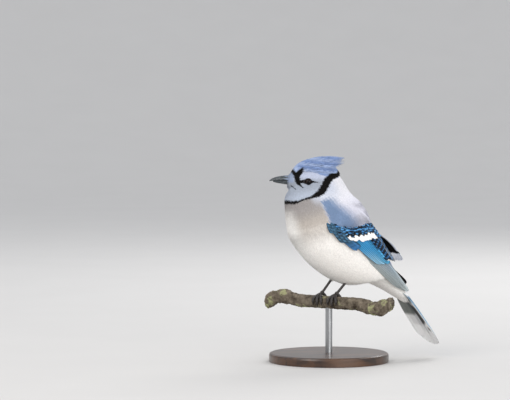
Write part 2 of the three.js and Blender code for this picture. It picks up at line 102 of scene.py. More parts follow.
form = dict(
    headTurn=math.radians(-18), headPivotY=-11.6, neckLow=140, neckHigh=172,
    tailRoll=math.radians(-14), tailRoot=np.array([0.0, 64, 87]), tailTip=np.array([0.0, 116, 13]),
    farWingRaise=14, coatDepth=1.6, faceFrom=166, neckFrom=148,
)
trunk = [  # back y, z; belly y, z; half width
    (3.4, 194, -36, 180, 13), (12.4, 185, -45.5, 166, 20.5), (22, 170, -46.5, 152, 28),
    (32, 160.5, -45.5, 139, 33), (40, 149, -42, 125, 36), (47, 133, -32.5, 110, 36.5),
    (55, 118, -20, 96.5, 34.5), (62.5, 105, -3.5, 84.5, 30.5), (69, 93, 15.8, 77, 25),
    (74, 84, 34.7, 79, 19), (79, 75, 51.5, 73, 14), (84.5, 65.5, 69.4, 63, 10), (89, 57.5, 81, 56, 5),
]
lastStation = len(trunk) - 1
skull = [  # y, top, bottom, half width
    (-42.5, 186, 174, 4.4), (-38.6, 190, 171, 8), (-33.6, 194.3, 168, 10.8), (-26.6, 198.8, 165.5, 13.2),
    (-18.6, 201.5, 163, 14.8), (-10.6, 202.3, 163, 15.2), (-2.6, 200.8, 165, 14), (4.4, 197, 169, 11),
    (9.4, 191, 175, 6),
]
eyeSpot = dict(y=-21.4, z=181, radius=4.4, height=0.86, skinX=14.1, depth=3.1, bare=3.9, corneaRise=0.9,
               lidLong=3.85, lidHigh=3.1, lidThick=0.42)
tailLine = form["tailTip"] - form["tailRoot"]
tailLength = float(np.linalg.norm(tailLine))
tailAlong = tailLine / tailLength
tailUp = np.cross([1.0, 0, 0], tailAlong)


def turnHead(points, back=False):
    angle = form["headTurn"] * smooth(points[..., 2], form["neckLow"], form["neckHigh"])
    axis = np.array([0, form["headPivotY"], 0])
    return turned(points - axis, upward, -angle if back else angle) + axis


def withHead(direction):
    return turned(np.asarray(direction, float), upward, form["headTurn"])


def trunkPoint(station, angle, lift=0.0):
    station, angle, lift = np.broadcast_arrays(np.asarray(station, float), angle, lift)
    row = curve(trunk, station)
    back = np.stack([0 * angle, row[..., 0], row[..., 1]], -1)
    belly = np.stack([0 * angle, row[..., 2], row[..., 3]], -1)
    up = (back - belly) / 2
    reach = 1 + lift / np.linalg.norm(up, axis=-1)
    point = up * (np.cos(angle) * reach)[..., None]
    point[..., 0] += np.sin(angle) * (row[..., 4] + lift)
    point = turned(point, tailAlong, form["tailRoll"] * smooth(station, 7.5, lastStation))
    return turnHead(point + (back + belly) / 2)


def skullPoint(station, angle, lift=0.0):
    station, angle = np.broadcast_arrays(np.asarray(station, float), angle)
    row = curve(skull, station)
    reach = (row[..., 1] - row[..., 2]) / 2 + lift
    return turnHead(np.stack([
        np.sin(angle) * (row[..., 3] + lift), row[..., 0],
        (row[..., 1] + row[..., 2]) / 2 + np.cos(angle) * reach,
    ], -1))


# Where a point lies on the bird: trunk station and the angle from the back in degrees.
spineSteps = np.linspace(0, lastStation, 289)
spineRows = curve(trunk, spineSteps)


def whereOnTrunk(points):
    plain = turnHead(points, back=True)
    station = np.empty(len(plain))
    high = np.empty(len(plain))
    backs, bellies = spineRows[:, 0:2], spineRows[:, 2:4]
    line = bellies - backs
    for start in range(0, len(plain), 20000):
        chunk = plain[start:start + 20000, None, 1:3]
        part = np.clip(((chunk - backs) * line).sum(-1) / (line * line).sum(-1), 0, 1)
        away = np.linalg.norm(chunk - backs - part[..., None] * line, axis=-1)
        pick = away.argmin(1)
        station[start:start + 20000] = spineSteps[pick]
        high[start:start + 20000] = 1 - 2 * part[np.arange(len(pick)), pick]
    half = curve(trunk, station)[:, 4]
    return station, np.degrees(np.arctan2(np.abs(plain[:, 0]) / half, high)), plain


# Markings. One rule colours the skin and the coat over it.

ink = {name: linear(code) for name, code in dict(
    crown="#8298c4", crownDark="#7189b6", crownLight="#a6b6d4", face="#a1a8b4", throat="#b4bdcc",
    brow="#bdc4d8", black="#0b0908", nape="#e6e5ea", neckSide="#c8cdda", mantle="#d2d1dc",
    mantleBlue="#bdc4da", shoulder="#7489a8", breast="#9b9694", breastMid="#bab2aa", belly="#faf6f1",
    vent="#f7f5f1", rump="#8c9cc2", wingBlue="#4486c4", wingBright="#66aae0", wingDeep="#28557f",
    wingDull="#47718f", wingGrey="#c6d1d2", azure="#68c2f0", azureDeep="#3f99d0", azurePale="#a4d8f4",
    pale="#b4cadb", tailPale="#bfdcec", white="#f7f7f7", tailBlue="#4c86bb", underGrey="#8f938f",
    hornPale="#7b8286",
).items()}
collar = [(9.4, 192, 1.3), (7.4, 187.5, 2.2), (0.9, 185.8, 3.4), (-2.9, 182, 3.7), (-5.4, 177, 3.7),
          (-8.6, 172, 3.6), (-13.6, 168.5, 2.5), (-19.1, 166.2, 1.1), (-26.6, 164, 0.8),
          (-32.6, 161.8, 1.0), (-38.6, 160.4, 1.7), (-46, 160.8, 1.9)]
faceStrokes = [
    [(-33.4, 187.5, 2.9), (-33.1, 185.5, 2.9), (-32.4, 182, 2.5), (-31.2, 179.2, 1.9)],
    [(-33.9, 187.3, 2.4), (-37, 191.2, 2.0), (-39.2, 192.8, 1.3)],
    [(-32.4, 187.5, 2.6), (-29.8, 190.4, 2.5), (-26.9, 194, 1.3)],
    [(-31.8, 180.8, 1.9), (-27, 181.2, 1.5), (-24.6, 181.2, 2.2), (-21.4, 181, 3.4), (-17.6, 181, 1.4)],
    [(-31, 179.2, 1.4), (-27.2, 175.2, 0.5)],
    [(-38.4, 176.8, 0.55), (-34.2, 173.4, 0.4)],
    [(-18, 181.2, 1.2), (-14.8, 180.9, 0.5), (-10.8, 180.5, 0.2)],
]
crownRim = [(-41, 189.6), (-33, 190.6), (-26.6, 193.6), (-23.6, 191.2), (-18.6, 191), (-13.6, 189.6),
            (-8.6, 187.6), (-4, 186.4), (14, 184)]
shoulderEdge = [(1.8, 89), (2.35, 93), (2.95, 98), (3.6, 103), (4.3, 101), (5, 93), (5.7, 79), (7.6, 66),
                (9.5, 50)]


def alongTable(table, value):
    return np.interp(value, [row[0] for row in table], [row[1] for row in table])


def markings(points):
    station, angle, plain = whereOnTrunk(points)
    y, z = plain[:, 1], plain[:, 2]
    waver = 0.5 * np.sin(y * 1.7 + z * 0.9) + 0.4 * np.sin(z * 2.3 - y * 1.1)
    breast = mix(ink["breast"], ink["breastMid"], smooth(station, 2.0, 3.3))
    breast = mix(breast, ink["belly"], smooth(station, 3.2, 4.8))
    breast = mix(breast, ink["vent"], smooth(station, 7.2, 8.6))
    # Painted highlight: the upper breast is painted paler along its underside, its front edge, where rim
    # light falls.
    breast = mix(breast, ink["vent"], smooth(angle, 138, 165) * smooth(station, 1.6, 3) * 0.85)
    back = mix(ink["nape"], ink["mantle"], smooth(station, 1.6, 3.2))
    back = mix(back, ink["mantleBlue"], smooth(station, 3.8, 5.2))
    back = mix(back, ink["rump"], smooth(station, 6, 8))
    side = alongTable(shoulderEdge, station) + waver * 2
    colour = mix(back, breast, smooth(angle, side - 5, side + 2))
    colour = mix(colour, ink["neckSide"], (1 - smooth(station, 1.4, 2.4)) * smooth(angle, 30, 60)
                 * (1 - smooth(angle, 92, 108)))
    shoulder = smooth(angle + waver * 3, 50, 78) * (1 - smooth(angle, side - 5, side + 1))
    shoulder *= smooth(station + waver * 0.1, 1.7, 2.1) * (1 - smooth(station, 5.4, 6))
    colour = mix(colour, ink["shoulder"], shoulder)
    colour = mix(colour, ink["vent"], smooth(station, 8.6, 9.4) * smooth(angle, 55, 80))
    colour = mix(colour, ink["vent"], smooth(station, 10.1, 10.7) * smooth(angle, 30, 50))
    # The face is everything in front of the collar.
    collarZ = np.interp(y, [row[0] for row in collar[::-1]], [row[1] for row in collar[::-1]])
    inFace = (z > collarZ) & (y < 12)
    face = mix(ink["throat"], ink["face"], smooth(z, 166, 178))
    face = mix(face, ink["brow"], smooth(z, 181, 186))
    colour = np.where(inFace[:, None], face, colour)
    rim = alongTable(crownRim, y)
    crown = mix(ink["crown"], ink["crownLight"], 0.5 + 0.5 * np.sin(z * 1.1 + y * 0.12 + waver))
    crown = mix(crown, ink["crownDark"], smooth(waver, -0.2, 0.9) * 0.6)
    onCrown = smooth(z + waver * 0.5, rim - 0.7, rim + 0.9) * (y < 20) * ((y < 8.5) | (z > 189))
    colour = mix(colour, crown, onCrown)
    lobe = smooth(-y, 31, 32.5) * smooth(z, 187.5, 188.5)
    colour = mix(colour, ink["crownLight"], lobe * 0.8)
    tuft = smooth(-y, 35.6, 37) * smooth(z, 179, 181) * (1 - smooth(z, 188.6, 190))
    colour = mix(colour, ink["crownLight"] * 0.75 + ink["face"] * 0.2, tuft)
    dark = 1 - smooth(strokeDistance(collar, y, z) + waver * 0.35, -0.45, 0.4)
    for stroke in faceStrokes:
        dark = np.maximum(dark, 1 - smooth(strokeDistance(stroke, y, z), -0.35, 0.3))
    return mix(colour, ink["black"], dark)


# Nodes and materials

def addNode(tree, kind, links=None, **settings):
    node = tree.nodes.new(kind)
    for name, value in settings.items():
        setattr(node, name, value)
    for name, value in (links or {}).items():
        if isinstance(value, bpy.types.NodeSocket):
            tree.links.new(value, node.inputs[name])
        else:
            node.inputs[name].default_value = value
    return node


def newMaterial(name, **sockets):
    material = bpy.data.materials.new(name)
    material.use_nodes = True
    shader = material.node_tree.nodes["Principled BSDF"]
    for socket, value in sockets.items():
        shader.inputs[socket.replace("_", " ")].default_value = value
    return material, material.node_tree, shader


# The pigment comes as a colour attribute. A pattern shades it and gives it relief.
def pigmentOver(tree, shader, pattern, tones, strength, relief):
    pigment = addNode(tree, "ShaderNodeAttribute", attribute_name="pigment")
    tone = addNode(tree, "ShaderNodeMapRange", {"Value": pattern.outputs["Fac"], **tones})
    blend = addNode(tree, "ShaderNodeVectorMath", {0: pigment.outputs["Color"], 1: tone.outputs["Result"]},
                    operation="MULTIPLY")
    tree.links.new(blend.outputs["Vector"], shader.inputs["Base Color"])
    bump = addNode(tree, "ShaderNodeBump", {"Height": pattern.outputs["Fac"], "Strength": strength,
                                            "Distance": relief * mm})
    tree.links.new(bump.outputs["Normal"], shader.inputs["Normal"])


# Feather keratin on the body: matt, softly sheened by its barbs.
def featherMaterial(name, roughness, grain, depth, sheen):
    material, tree, shader = newMaterial(name, Roughness=roughness, Sheen_Weight=sheen,
                                         Sheen_Roughness=0.45, Specular_IOR_Level=0.12)
    place = addNode(tree, "ShaderNodeTexCoord")
    noise = addNode(tree, "ShaderNodeTexNoise", {"Vector": place.outputs["Object"],
                                                 "Scale": 1 / (grain * mm), "Detail": 3.0})
    tones = {"From Min": 0.3, "From Max": 0.7, "To Min": 1 - depth, "To Max": 1 + depth * 0.5}
    pigmentOver(tree, shader, noise, tones, 0.25, 0.2)
    return material


# Vanes of flight feathers: barbs slant from the shaft, drawn at 0.9 mm so that they show.
def vaneMaterial(name):
    material, tree, shader = newMaterial(name, Roughness=0.6, Specular_IOR_Level=0.15)
    lie = addNode(tree, "ShaderNodeUVMap", uv_map="vaneLie")
    turn = addNode(tree, "ShaderNodeMapping", {"Vector": lie.outputs["UV"], "Rotation": (0, 0, 0.6)})
    barbs = addNode(tree, "ShaderNodeTexWave", {"Vector": turn.outputs["Vector"], "Scale": 0.35,
                                                "Distortion": 1.5, "Detail": 2.0})
    pigmentOver(tree, shader, barbs, {"To Min": 0.93, "To Max": 1.03}, 0.2, 0.1)
    return material


# A bare finish whose tone wanders between two colours, in a grain of so many millimetres.
def grainedMaterial(name, dark, light, grain, stops=(0, 1), stretch=(1, 1, 1), noise=None, bump=0,
                    **sockets):
    material, tree, shader = newMaterial(name, **sockets)
    place = addNode(tree, "ShaderNodeTexCoord")
    lie = addNode(tree, "ShaderNodeMapping", {"Vector": place.outputs["Object"], "Scale": stretch})
    pattern = addNode(tree, "ShaderNodeTexNoise", {"Vector": lie.outputs["Vector"],
                                                   "Scale": 1 / (grain * mm), **(noise or {})})
    ramp = addNode(tree, "ShaderNodeValToRGB", {"Fac": pattern.outputs["Fac"]})
    for stop, position, colour in zip(ramp.color_ramp.elements, stops, (dark, light)):
        stop.position = position
        stop.color = rgba(colour)
    tree.links.new(ramp.outputs["Color"], shader.inputs["Base Color"])
    if bump:
        relief = addNode(tree, "ShaderNodeBump", {"Height": pattern.outputs["Fac"], "Strength": bump,
                                                  "Distance": 0.1 * mm})
        tree.links.new(relief.outputs["Normal"], shader.inputs["Normal"])
    return material


downMaterial = featherMaterial("contour feather keratin", 0.8, 1.4, 0.1, 0.06)
skinMaterial = featherMaterial("feathered skin", 0.85, 0.7, 0.2, 0.05)
quillMaterial = vaneMaterial("flight feather keratin")


# Meshes

def finish(piece, nodes, material, smoothFaces=True):
    piece.data.materials.clear()
    piece.data.materials.append(material)
    if smoothFaces:
        piece.data.polygons.foreach_set("use_smooth", [True] * len(piece.data.polygons))
    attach(piece, "root")
    if nodes:
        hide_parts(*nodes)


def linked(name, data):
    piece = bpy.data.objects.new(name, data)
    bpy.context.collection.objects.link(piece)
    return piece


def objectFrom(name, shape):
    mesh = bpy.data.meshes.new(name)
    shape.to_mesh(mesh)
    shape.free()
    return linked(name, mesh)


def meshObject(name, points, faces):
    mesh = bpy.data.meshes.new(name)
    mesh.vertices.add(len(points))
    mesh.vertices.foreach_set("co", np.asarray(points, np.float32).ravel() * mm)
    faces = np.asarray(faces, np.int32)
    mesh.loops.add(faces.size)
    mesh.loops.foreach_set("vertex_index", faces.ravel())
    mesh.polygons.add(len(faces))
    mesh.polygons.foreach_set("loop_start", np.arange(0, faces.size, faces.shape[1], dtype=np.int32))
    mesh.update(calc_edges=True)
    return linked(name, mesh)


def paint(piece, colours):
    layer = piece.data.color_attributes.new("pigment", "FLOAT_COLOR", "POINT")
    full = np.ones((len(colours), 4), np.float32)
    full[:, :3] = colours
    layer.data.foreach_set("color", full.ravel())


def layOut(piece, name, places, faces):
    layer = piece.data.uv_layers.new(name=name)
    layer.data.foreach_set("uv", places[faces.ravel()].astype(np.float32).ravel())


def readAll(items, name, kind=np.float32):
    flat = np.empty(len(items) * 3, kind)
    items.foreach_get(name, flat)
    return flat.reshape(-1, 3)


def pointsOf(mesh):
    return readAll(mesh.vertices, "co").astype(float) / mm


# Rows and columns of places on bmesh's own grid, joined round and closed at both ends.
def gridMesh(name, spots):
    rows, columns = spots.shape[:2]
    shape = bmesh.new()
    bmesh.ops.create_grid(shape, x_segments=columns - 1, y_segments=rows - 1, size=1)
    shape.verts.ensure_lookup_table()
    for vert, spot in zip(shape.verts, spots.reshape(-1, 3)):
        vert.co = Vector(spot * mm)
    bmesh.ops.remove_doubles(shape, verts=shape.verts, dist=1e-6)
    bmesh.ops.holes_fill(shape, edges=[e for e in shape.edges if e.is_boundary], sides=0)
    bmesh.ops.recalc_face_normals(shape, faces=shape.faces)
    return objectFrom(name, shape)


def joined(name, pieces):
    shape = bmesh.new()
    for piece in pieces:
        shape.from_mesh(piece.data)
        bpy.data.objects.remove(piece)
    return objectFrom(name, shape)


def applyModifier(piece, kind, **settings):
    modifier = piece.modifiers.new(kind.title(), kind)
    for name, value in settings.items():
        setattr(modifier, name, value)
    evaluated = piece.evaluated_get(bpy.context.evaluated_depsgraph_get())
    mesh = bpy.data.meshes.new_from_object(evaluated)
    piece.modifiers.clear()
    piece.data = mesh


# The crown's top line and its lower line on each side (y, z and x, y, z).
crownTop = [(-39, 190.5), (-33, 197.3), (-24, 202), (-12, 205), (2, 205.6), (16.5, 204)]
crownEdge = [(5, -39, 187.5), (9.5, -33, 190), (13, -24, 191.5), (14.5, -12, 190.5), (12, 0, 188),
             (8.5, 9, 187.5)]


def crownPoint(back, down, lift):
    back, down, lift = np.broadcast_arrays(np.asarray(back, float), down, lift)
    top = curve(crownTop, back * 5)
    edge = curve(crownEdge, back * 5)
    angle = down * math.pi / 2
    high = np.cos(angle)
    return turnHead(np.stack([
        (edge[..., 0] + lift) * np.sin(angle),
        edge[..., 1] + (top[..., 0] - edge[..., 1]) * high,
        edge[..., 2] + (top[..., 1] - edge[..., 2] + lift) * high,
    ], -1))


# Skin: one closed surface over head, crown, neck, trunk, arms and tail root, a coat's depth below the form.

around = np.linspace(0, 2 * math.pi, 57)


def crownCore():
    back = np.linspace(0.12, 0.86, 24)[:, None]
    down = np.linspace(-1, 1, 25)[None]
    over = crownPoint(back, down, -1.3 - 1.2 * smooth(back, 0.5, 0.86))
    under = crownPoint(back, np.array([[0.6, -0.6]]), -11)
    return np.concatenate([over, under, over[:, :1]], 1)


def wingPoint(side, station, angle, lift):
    spot = trunkPoint(station, side * np.radians(angle), lift)
    if side < 0:
        share = np.cos(np.radians(np.asarray(angle) * 0.8))
        raised = form["farWingRaise"] * smooth(station, 3.6, 7) * share
        spot = spot + tailUp * np.asarray(raised)[..., None]
    return spot


# The folded arm swells under the mantle and shoulder and sinks away where the barred coverts begin.
# Its upper and lower edges are angles from the back at five trunk stations.
arm = dict(stations=[2.3, 3.2, 3.8, 4.6, 5.2], high=[50, 34, 26, 20, 20], low=[64, 90, 102, 104, 96],
           swell=4.6, sunk=2.4, deep=6)


def armMesh(side):
    stations = np.linspace(arm["stations"][0], arm["stations"][-1], 30)
    part = np.linspace(0, 1, 21)
    high = np.interp(stations, arm["stations"], arm["high"])
    low = np.interp(stations, arm["stations"], arm["low"])
    swell = smooth(stations, 2.2, 3.9) * (1 - 0.7 * smooth(stations, 3.7, 5))
    angle = high[:, None] + (low - high)[:, None] * part[None]
    lift = arm["swell"] * np.sin(part * math.pi)[None] * swell[:, None] - arm["sunk"]
    turn = side * np.radians(angle)
    outer = trunkPoint(stations[:, None], turn, lift)
    inner = trunkPoint(stations[:, None], turn, -arm["deep"])
    return gridMesh("arm", np.concatenate([outer, inner[:, ::-1], outer[:, :1]], 1))


def buildSkin():
    lift = -form["coatDepth"]
    trunkRows = np.linspace(0.2, lastStation - 0.2, 60)
    skullRows = np.linspace(0, len(skull) - 1, 30)
    body = gridMesh("body", trunkPoint(trunkRows[:, None], around[None, :], lift))
    head = gridMesh("skull", skullPoint(skullRows[:, None], around[None, :], lift * 0.4))
    crown = gridMesh("crown", crownCore())
    skin = joined("skin", [body, head, crown, armMesh(1), armMesh(-1)])
    applyModifier(skin, "REMESH", mode="VOXEL", voxel_size=1.0 * mm)
    applyModifier(skin, "SMOOTH", factor=0.6, iterations=10)
    return skin


skin = buildSkin()
paint(skin, markings(pointsOf(skin.data)))
print("skin", len(skin.data.polygons))


# Coat: thousands of closed leaf-shaped tufts that lie along the body.
leafFaces = np.array([[0, 3, 1], [0, 2, 3], [1, 3, 4], [3, 2, 4], [0, 1, 2], [1, 4, 2]])
pieceLimit = 33000  # tufts in a piece
shadeSpread = 0.035


# Places spread over a surface at random, thinned to one in each small cell.
def scatter(piece, spacing, keep):
    mesh = piece.data
    mesh.calc_loop_triangles()
    corners = readAll(mesh.loop_triangles, "vertices", np.int32)
    points = pointsOf(mesh)
    vertexNormals = readAll(mesh.vertex_normals, "vector").astype(float)
    ring = points[corners]
    area = np.linalg.norm(np.cross(ring[:, 1] - ring[:, 0], ring[:, 2] - ring[:, 0]), axis=1) / 2
    weights = area * keep(ring.mean(1))
    count = int(weights.sum() / spacing ** 2 * 2.5)
    pick = dice.choice(len(area), size=count, p=weights / weights.sum())
    u, v = dice.random(count), dice.random(count)
    flip = u + v > 1
    u, v = np.where(flip, 1 - u, u), np.where(flip, 1 - v, v)
    shares = np.stack([1 - u - v, u, v], 1)[..., None]
    spots = (ring[pick] * shares).sum(1)
    normals = unit((vertexNormals[corners[pick]] * shares).sum(1))
    cell = np.floor(spots / (spacing * 1.2)).astype(np.int64)
    first = np.unique(cell @ np.array([1, 4001, 4001 ** 2]), return_index=True)[1]
    return spots[first], normals[first]


billBase = turnHead(np.array([[0, -43.0, 183]]))[0]


def flowAt(points, normals):
    rows = np.clip(whereOnTrunk(points)[0], 0.3, lastStation - 0.3)
    ahead = curve(trunk, rows + 0.25)
    behind = curve(trunk, rows - 0.25)
    spine = np.zeros_like(points)
    spine[:, 1] = (ahead[:, 0] + ahead[:, 2] - behind[:, 0] - behind[:, 2])
    spine[:, 2] = (ahead[:, 1] + ahead[:, 3] - behind[:, 1] - behind[:, 3])
    spread = unit(points - billBase)
    onHead = smooth(points[:, 2], 152, 172)
    flow = mix(unit(spine), spread, onHead)
    flow -= normals * (flow * normals).sum(1, keepdims=True)
    return unit(flow)


# Place on an unwrap of the skin's own shape: along the spine and round it.
def unwrapOf(points):
    station, angle, plain = whereOnTrunk(points)
    along = np.where(station > 0.05, 0.3 + 0.7 * station / lastStation, 0.3 * (plain[:, 1] + 45) / 60)
    turn = angle / 360 * np.sign(plain[:, 0] + 1e-9)
    return np.stack([np.clip(0.5 + turn, 0.002, 0.995), np.clip(along, 0.002, 0.995)], 1)


def tuftPiece(name, spots, normals, flow, size, colours):
    count = len(spots)
    length = size["length"] * dice.uniform(0.75, 1.2, count)[:, None]
    width = size["width"] * dice.uniform(0.8, 1.2, count)[:, None]
    lift = size["lift"] * dice.uniform(0.5, 1.3, count)[:, None]
    side = np.cross(flow, normals)
    flow = unit(flow + side * dice.normal(0, 0.09, count)[:, None])
    side = np.cross(flow, normals)
    middle = spots + flow * length * 0.45 + normals * lift * 0.85
    corners = np.stack([
        spots - normals * size["lift"],
        middle - side * width / 2,
        middle + side * width / 2,
        middle + normals * width * 0.09,
        spots + flow * length + normals * lift * 0.9,
    ], 1).reshape(-1, 3)
    faces = (leafFaces[None] + (np.arange(count) * 5)[:, None, None]).reshape(-1, 3)
    piece = meshObject(name, corners, faces)
    tone = dice.normal(1, shadeSpread, count)[:, None, None]
    # Painted shade and highlight: each tuft is a little darker at its sunk root, where its neighbours shade
    # it, and a touch lighter at its tip.
    paintedRootShade = np.array([0.95, 0.99, 0.99, 1.0, 1.02])[None, :, None]
    paint(piece, (colours[:, None, :] * tone * paintedRootShade).clip(0, 1).reshape(-1, 3))
    patch = np.array([[0, 0], [-1, 0.5], [1, 0.5], [0, 0.6], [0, 1]]) * 0.0015
    places = (unwrapOf(spots)[:, None, :] + patch[None]).reshape(-1, 2)
    layOut(piece, "OFBake", places, faces)
    # Tufts take the light as the surface that they make up does, with a little of their own form.
    lean = np.array([0, -0.35, 0.35, 0, 0])[None, :, None] * side[:, None, :]
    soft = unit(normals[:, None, :] + lean + 0 * corners.reshape(-1, 5, 3)).reshape(-1, 3)
    finish(piece, None, downMaterial)
    piece.data.normals_split_custom_set_from_vertices(soft.astype(np.float32))


def eyePlace(side, depth):
    return turnHead(np.array([[side * (eyeSpot["skinX"] - depth), eyeSpot["y"], eyeSpot["z"]]]))[0]


eyeCentres = [eyePlace(side, 0.6) for side in (1, -1)]


def clearOfEyes(points):
    away = np.min([np.linalg.norm((points - c) * (1, 1, 1.2), axis=1) for c in eyeCentres], axis=0)
    return away > eyeSpot["bare"]


# How far up the neck a point is. The collar and face lie above faceFrom, the neck above neckFrom.
def neckHeight(points):
    plain = turnHead(points, back=True)
    return plain[:, 2] - 0.3 * plain[:, 1]


# The soft coat ends along a slant line (angle, station) where the barred coverts come out from under it.
covertLine = [(22, 4.7), (30, 4.65), (44, 4.45), (63, 4.1), (80, 3.75), (95, 3.4), (104, 3.25)]


def clearOfWings(points):
    station, angle = whereOnTrunk(points)[:2]
    edge = alongTable(shoulderEdge, station) - 1 - 9 * smooth(station, 4.4, 5.4)
    underWing = (station > alongTable(covertLine, angle)) & (station < 7) & (angle > 26) & (angle < edge)
    return ~underWing & (station < 11.4)


coats = dict(
    face=dict(spacing=0.4, length=2.9, width=0.52, lift=0.13,
              keep=lambda p: (neckHeight(p) > form["faceFrom"]) & clearOfEyes(p)),
    neck=dict(spacing=0.52, length=4.8, width=0.9, lift=0.14,
              keep=lambda p: (neckHeight(p) > form["neckFrom"]) & (neckHeight(p) <= form["faceFrom"])),
    body=dict(spacing=0.6, length=7.6, width=1.2, lift=0.16,
              keep=lambda p: (neckHeight(p) <= form["neckFrom"]) & clearOfWings(p)),
)


def buildCoat(name, surface, size, lie=None):
    spots, normals = scatter(surface, size["spacing"], size["keep"])
    order = np.argsort(spots[:, 2] + spots[:, 1] * 0.001)
    spots, normals = spots[order], normals[order]
    flow = flowAt(spots, normals) if lie is None else unit(lie + normals * 0.15 + 0 * spots)
    colours = markings(spots + flow * size["length"] * 0.55)
    shares = math.ceil(len(spots) / pieceLimit)
    for n, part in enumerate(np.array_split(np.arange(len(spots)), shares)):
        tuftPiece(f"coat_{name}_{n}", spots[part], normals[part], flow[part], size, colours[part])
    print("coat", name, len(spots))


finish(skin, ["head", "neck", "torso", "left_wing", "right_wing", "tail"], skinMaterial)
for name, size in coats.items():
    buildCoat(name, skin, size)


# Vanes: closed thin blades with a shaft, curved across, painted by place on the feather.

def bladeMesh(blade):
    rows, columns = blade["rows"], blade["columns"]
    t = np.linspace(0, 1, rows)
    a = np.linspace(-1, 1, columns)
    centre, across, out = blade["frameAt"](t)
    outline = blade["outline"](t)[:, None] * blade["width"]
    camber = blade["camber"] * (1 - a ** 2) + 0.22 * np.exp(-(a / 0.12) ** 2)
    top = centre[:, None] + across[:, None] * (a * outline)[..., None] + out[:, None] * camber[:, None]
    low = top - out[:, None] * (blade["thick"] * (1 - 0.6 * a ** 2))[:, None]
    tt, aa = np.broadcast_arrays(t[:, None], a[None, :])
    colours = [blade["colour"](tt, aa, upper).reshape(-1, 3) for upper in (True, False)]
    index = np.arange(rows * columns).reshape(rows, columns)
    under = index + rows * columns
    upperFaces = np.stack([index[:-1, :-1], index[:-1, 1:], index[1:, 1:], index[1:, :-1]], -1)
    lowerFaces = np.stack([under[:-1, :-1], under[1:, :-1], under[1:, 1:], under[:-1, 1:]], -1)
    rim = np.concatenate([index[0, :-1], index[:-1, -1], index[-1, :0:-1], index[:0:-1, 0]])
    after = np.roll(rim, -1)
    edgeFaces = np.stack([rim, rim + rows * columns, after + rows * columns, after], -1)
    faces = np.vstack([upperFaces.reshape(-1, 4), lowerFaces.reshape(-1, 4), edgeFaces])
    half = rows // 2
    if np.cross(across[half], centre[half] - centre[half - 1]) @ out[half] < 0:
        faces = faces[:, ::-1]
    uv = np.stack([aa * blade["width"], tt * blade["length"]], -1).reshape(-1, 2)
    points = np.vstack([top.reshape(-1, 3), low.reshape(-1, 3)])
    return points, np.vstack(colours), np.vstack([uv, uv]), faces


def vanePiece(name, blades, nodes, material=quillMaterial):
    points, colours, places, faces = zip(*[bladeMesh(blade) for blade in blades])
    starts = np.cumsum([0] + [len(part) for part in points[:-1]])
    faces = np.vstack([part + start for part, start in zip(faces, starts)])
    piece = meshObject(name, np.vstack(points), faces)
    paint(piece, np.vstack(colours).clip(0, 1))
    layOut(piece, "vaneLie", np.vstack(places), faces)
    finish(piece, nodes, material)


def featherOutline(t, base=0.55, broad=0.75):
    rise = base + (1 - base) * smooth(t, 0, broad)
    tip = np.sqrt(np.clip(1 - np.clip((t - 0.86) / 0.14, 0, 1) ** 2.2, 0.02, 1))
    return rise * tip


# A feather's line lies along the wing's surface, or is straight and bowed outward.
def wingLine(side, root, tip, bow, part, turn=0.0):
    if not bow:
        station, angle, lift = (low + (high - low) * part for low, high in zip(root, tip))
        return wingPoint(side, station, angle + turn, lift)
    start, end = (wingPoint(side, station, angle + turn, lift) for station, angle, lift in (root, tip))
    part = np.asarray(part)[..., None]
    return start * (1 - part) + end * part + np.array([side * bow, 0, 0]) * np.sin(part * math.pi)


def wingFrame(side, root, tip, tilt, bow):
    def frameAt(t):
        ahead, behind = (wingLine(side, root, tip, bow, np.clip(t + step, 0, 1)) for step in (0.02, -0.02))
        left, right = (wingLine(side, root, tip, bow, t, turn) for turn in (1.0, -1.0))
        across = unit(left - right)
        out = unit(np.cross(across, unit(ahead - behind)) * side)
        return wingLine(side, root, tip, bow, t), unit(across + out * tilt), out
    return frameAt


def bars(along, period, share):
    wave = (along / period) % 1
    return smooth(np.abs(wave - 0.5), 0.5 - share / 2 - 0.08, 0.5 - share / 2 + 0.08)


# The colours of one feather: web to its tip, inner web, bars, a dark rim on the lower edge, a white tip.
def featherPaint(length, web, inner, webTip=None, barPeriod=4.2, barShare=0.45, bar=0.0, phase=0.0,
                 rim=0.6, tip=0.0, band=2.2, innerRim=0.0, rimInk=ink["pale"], edgeInk=ink["black"] * 2):
    def colour(t, a, top):
        along = t * length
        base = mix(web, web if webTip is None else webTip, smooth(t, 0.4, 1))
        base = mix(base, inner, smooth(-a, 0.0, 0.5))
        wave = along + a * 0.9 + phase + 0.45 * np.sin(along * 1.3 + phase)
        base = mix(base, ink["black"], bars(wave, barPeriod, barShare) * bar)
        base = mix(base, rimInk, smooth(-a, 0.35, 0.55) * innerRim)
        base = mix(base, edgeInk, smooth(a, 0.72, 0.9) * rim)
        shaft = np.exp(-(a / 0.06) ** 2) * 0.45
        if tip > 0:
            white = length - tip + 0.7 * np.sin(a * 4 + phase)
            base = mix(base, ink["black"], smooth(along, white - band - 0.4, white - band))
            base = mix(base, ink["white"], smooth(along, white - 0.4, white + 0.2))
            shaft = shaft * (1 - smooth(along, white - 1, white))
        base = mix(base, ink["black"] * 3, shaft)
        return base if top else base * 0.5 + ink["underGrey"] * 0.05
    return colour


# The far wing is raised and shows its underside: black, with a white edge and white tips.
def blackBelow(above, length, tip, edge):
    below = featherPaint(length, ink["black"], ink["black"], tip=tip, rim=0.0, innerRim=edge,
                         rimInk=ink["white"])
    return lambda t, a, top: above(t, a, True) if top else below(t, a, True)


def primaryPaint(part, i):
    return dict(web=mix(ink["wingGrey"] * 0.8, ink["wingBlue"], 0.25 * part),
                inner=ink["wingGrey"] * 0.45, webTip=ink["wingGrey"], rim=0.85)


def secondaryPaint(part, i):
    return dict(web=ink["azureDeep"], webTip=mix(ink["azurePale"], ink["azure"], smooth(part, 0.2, 0.9)),
                inner=ink["azureDeep"] * 0.8, rim=0.75, bar=0.5 * smooth(part, 0.75, 1))


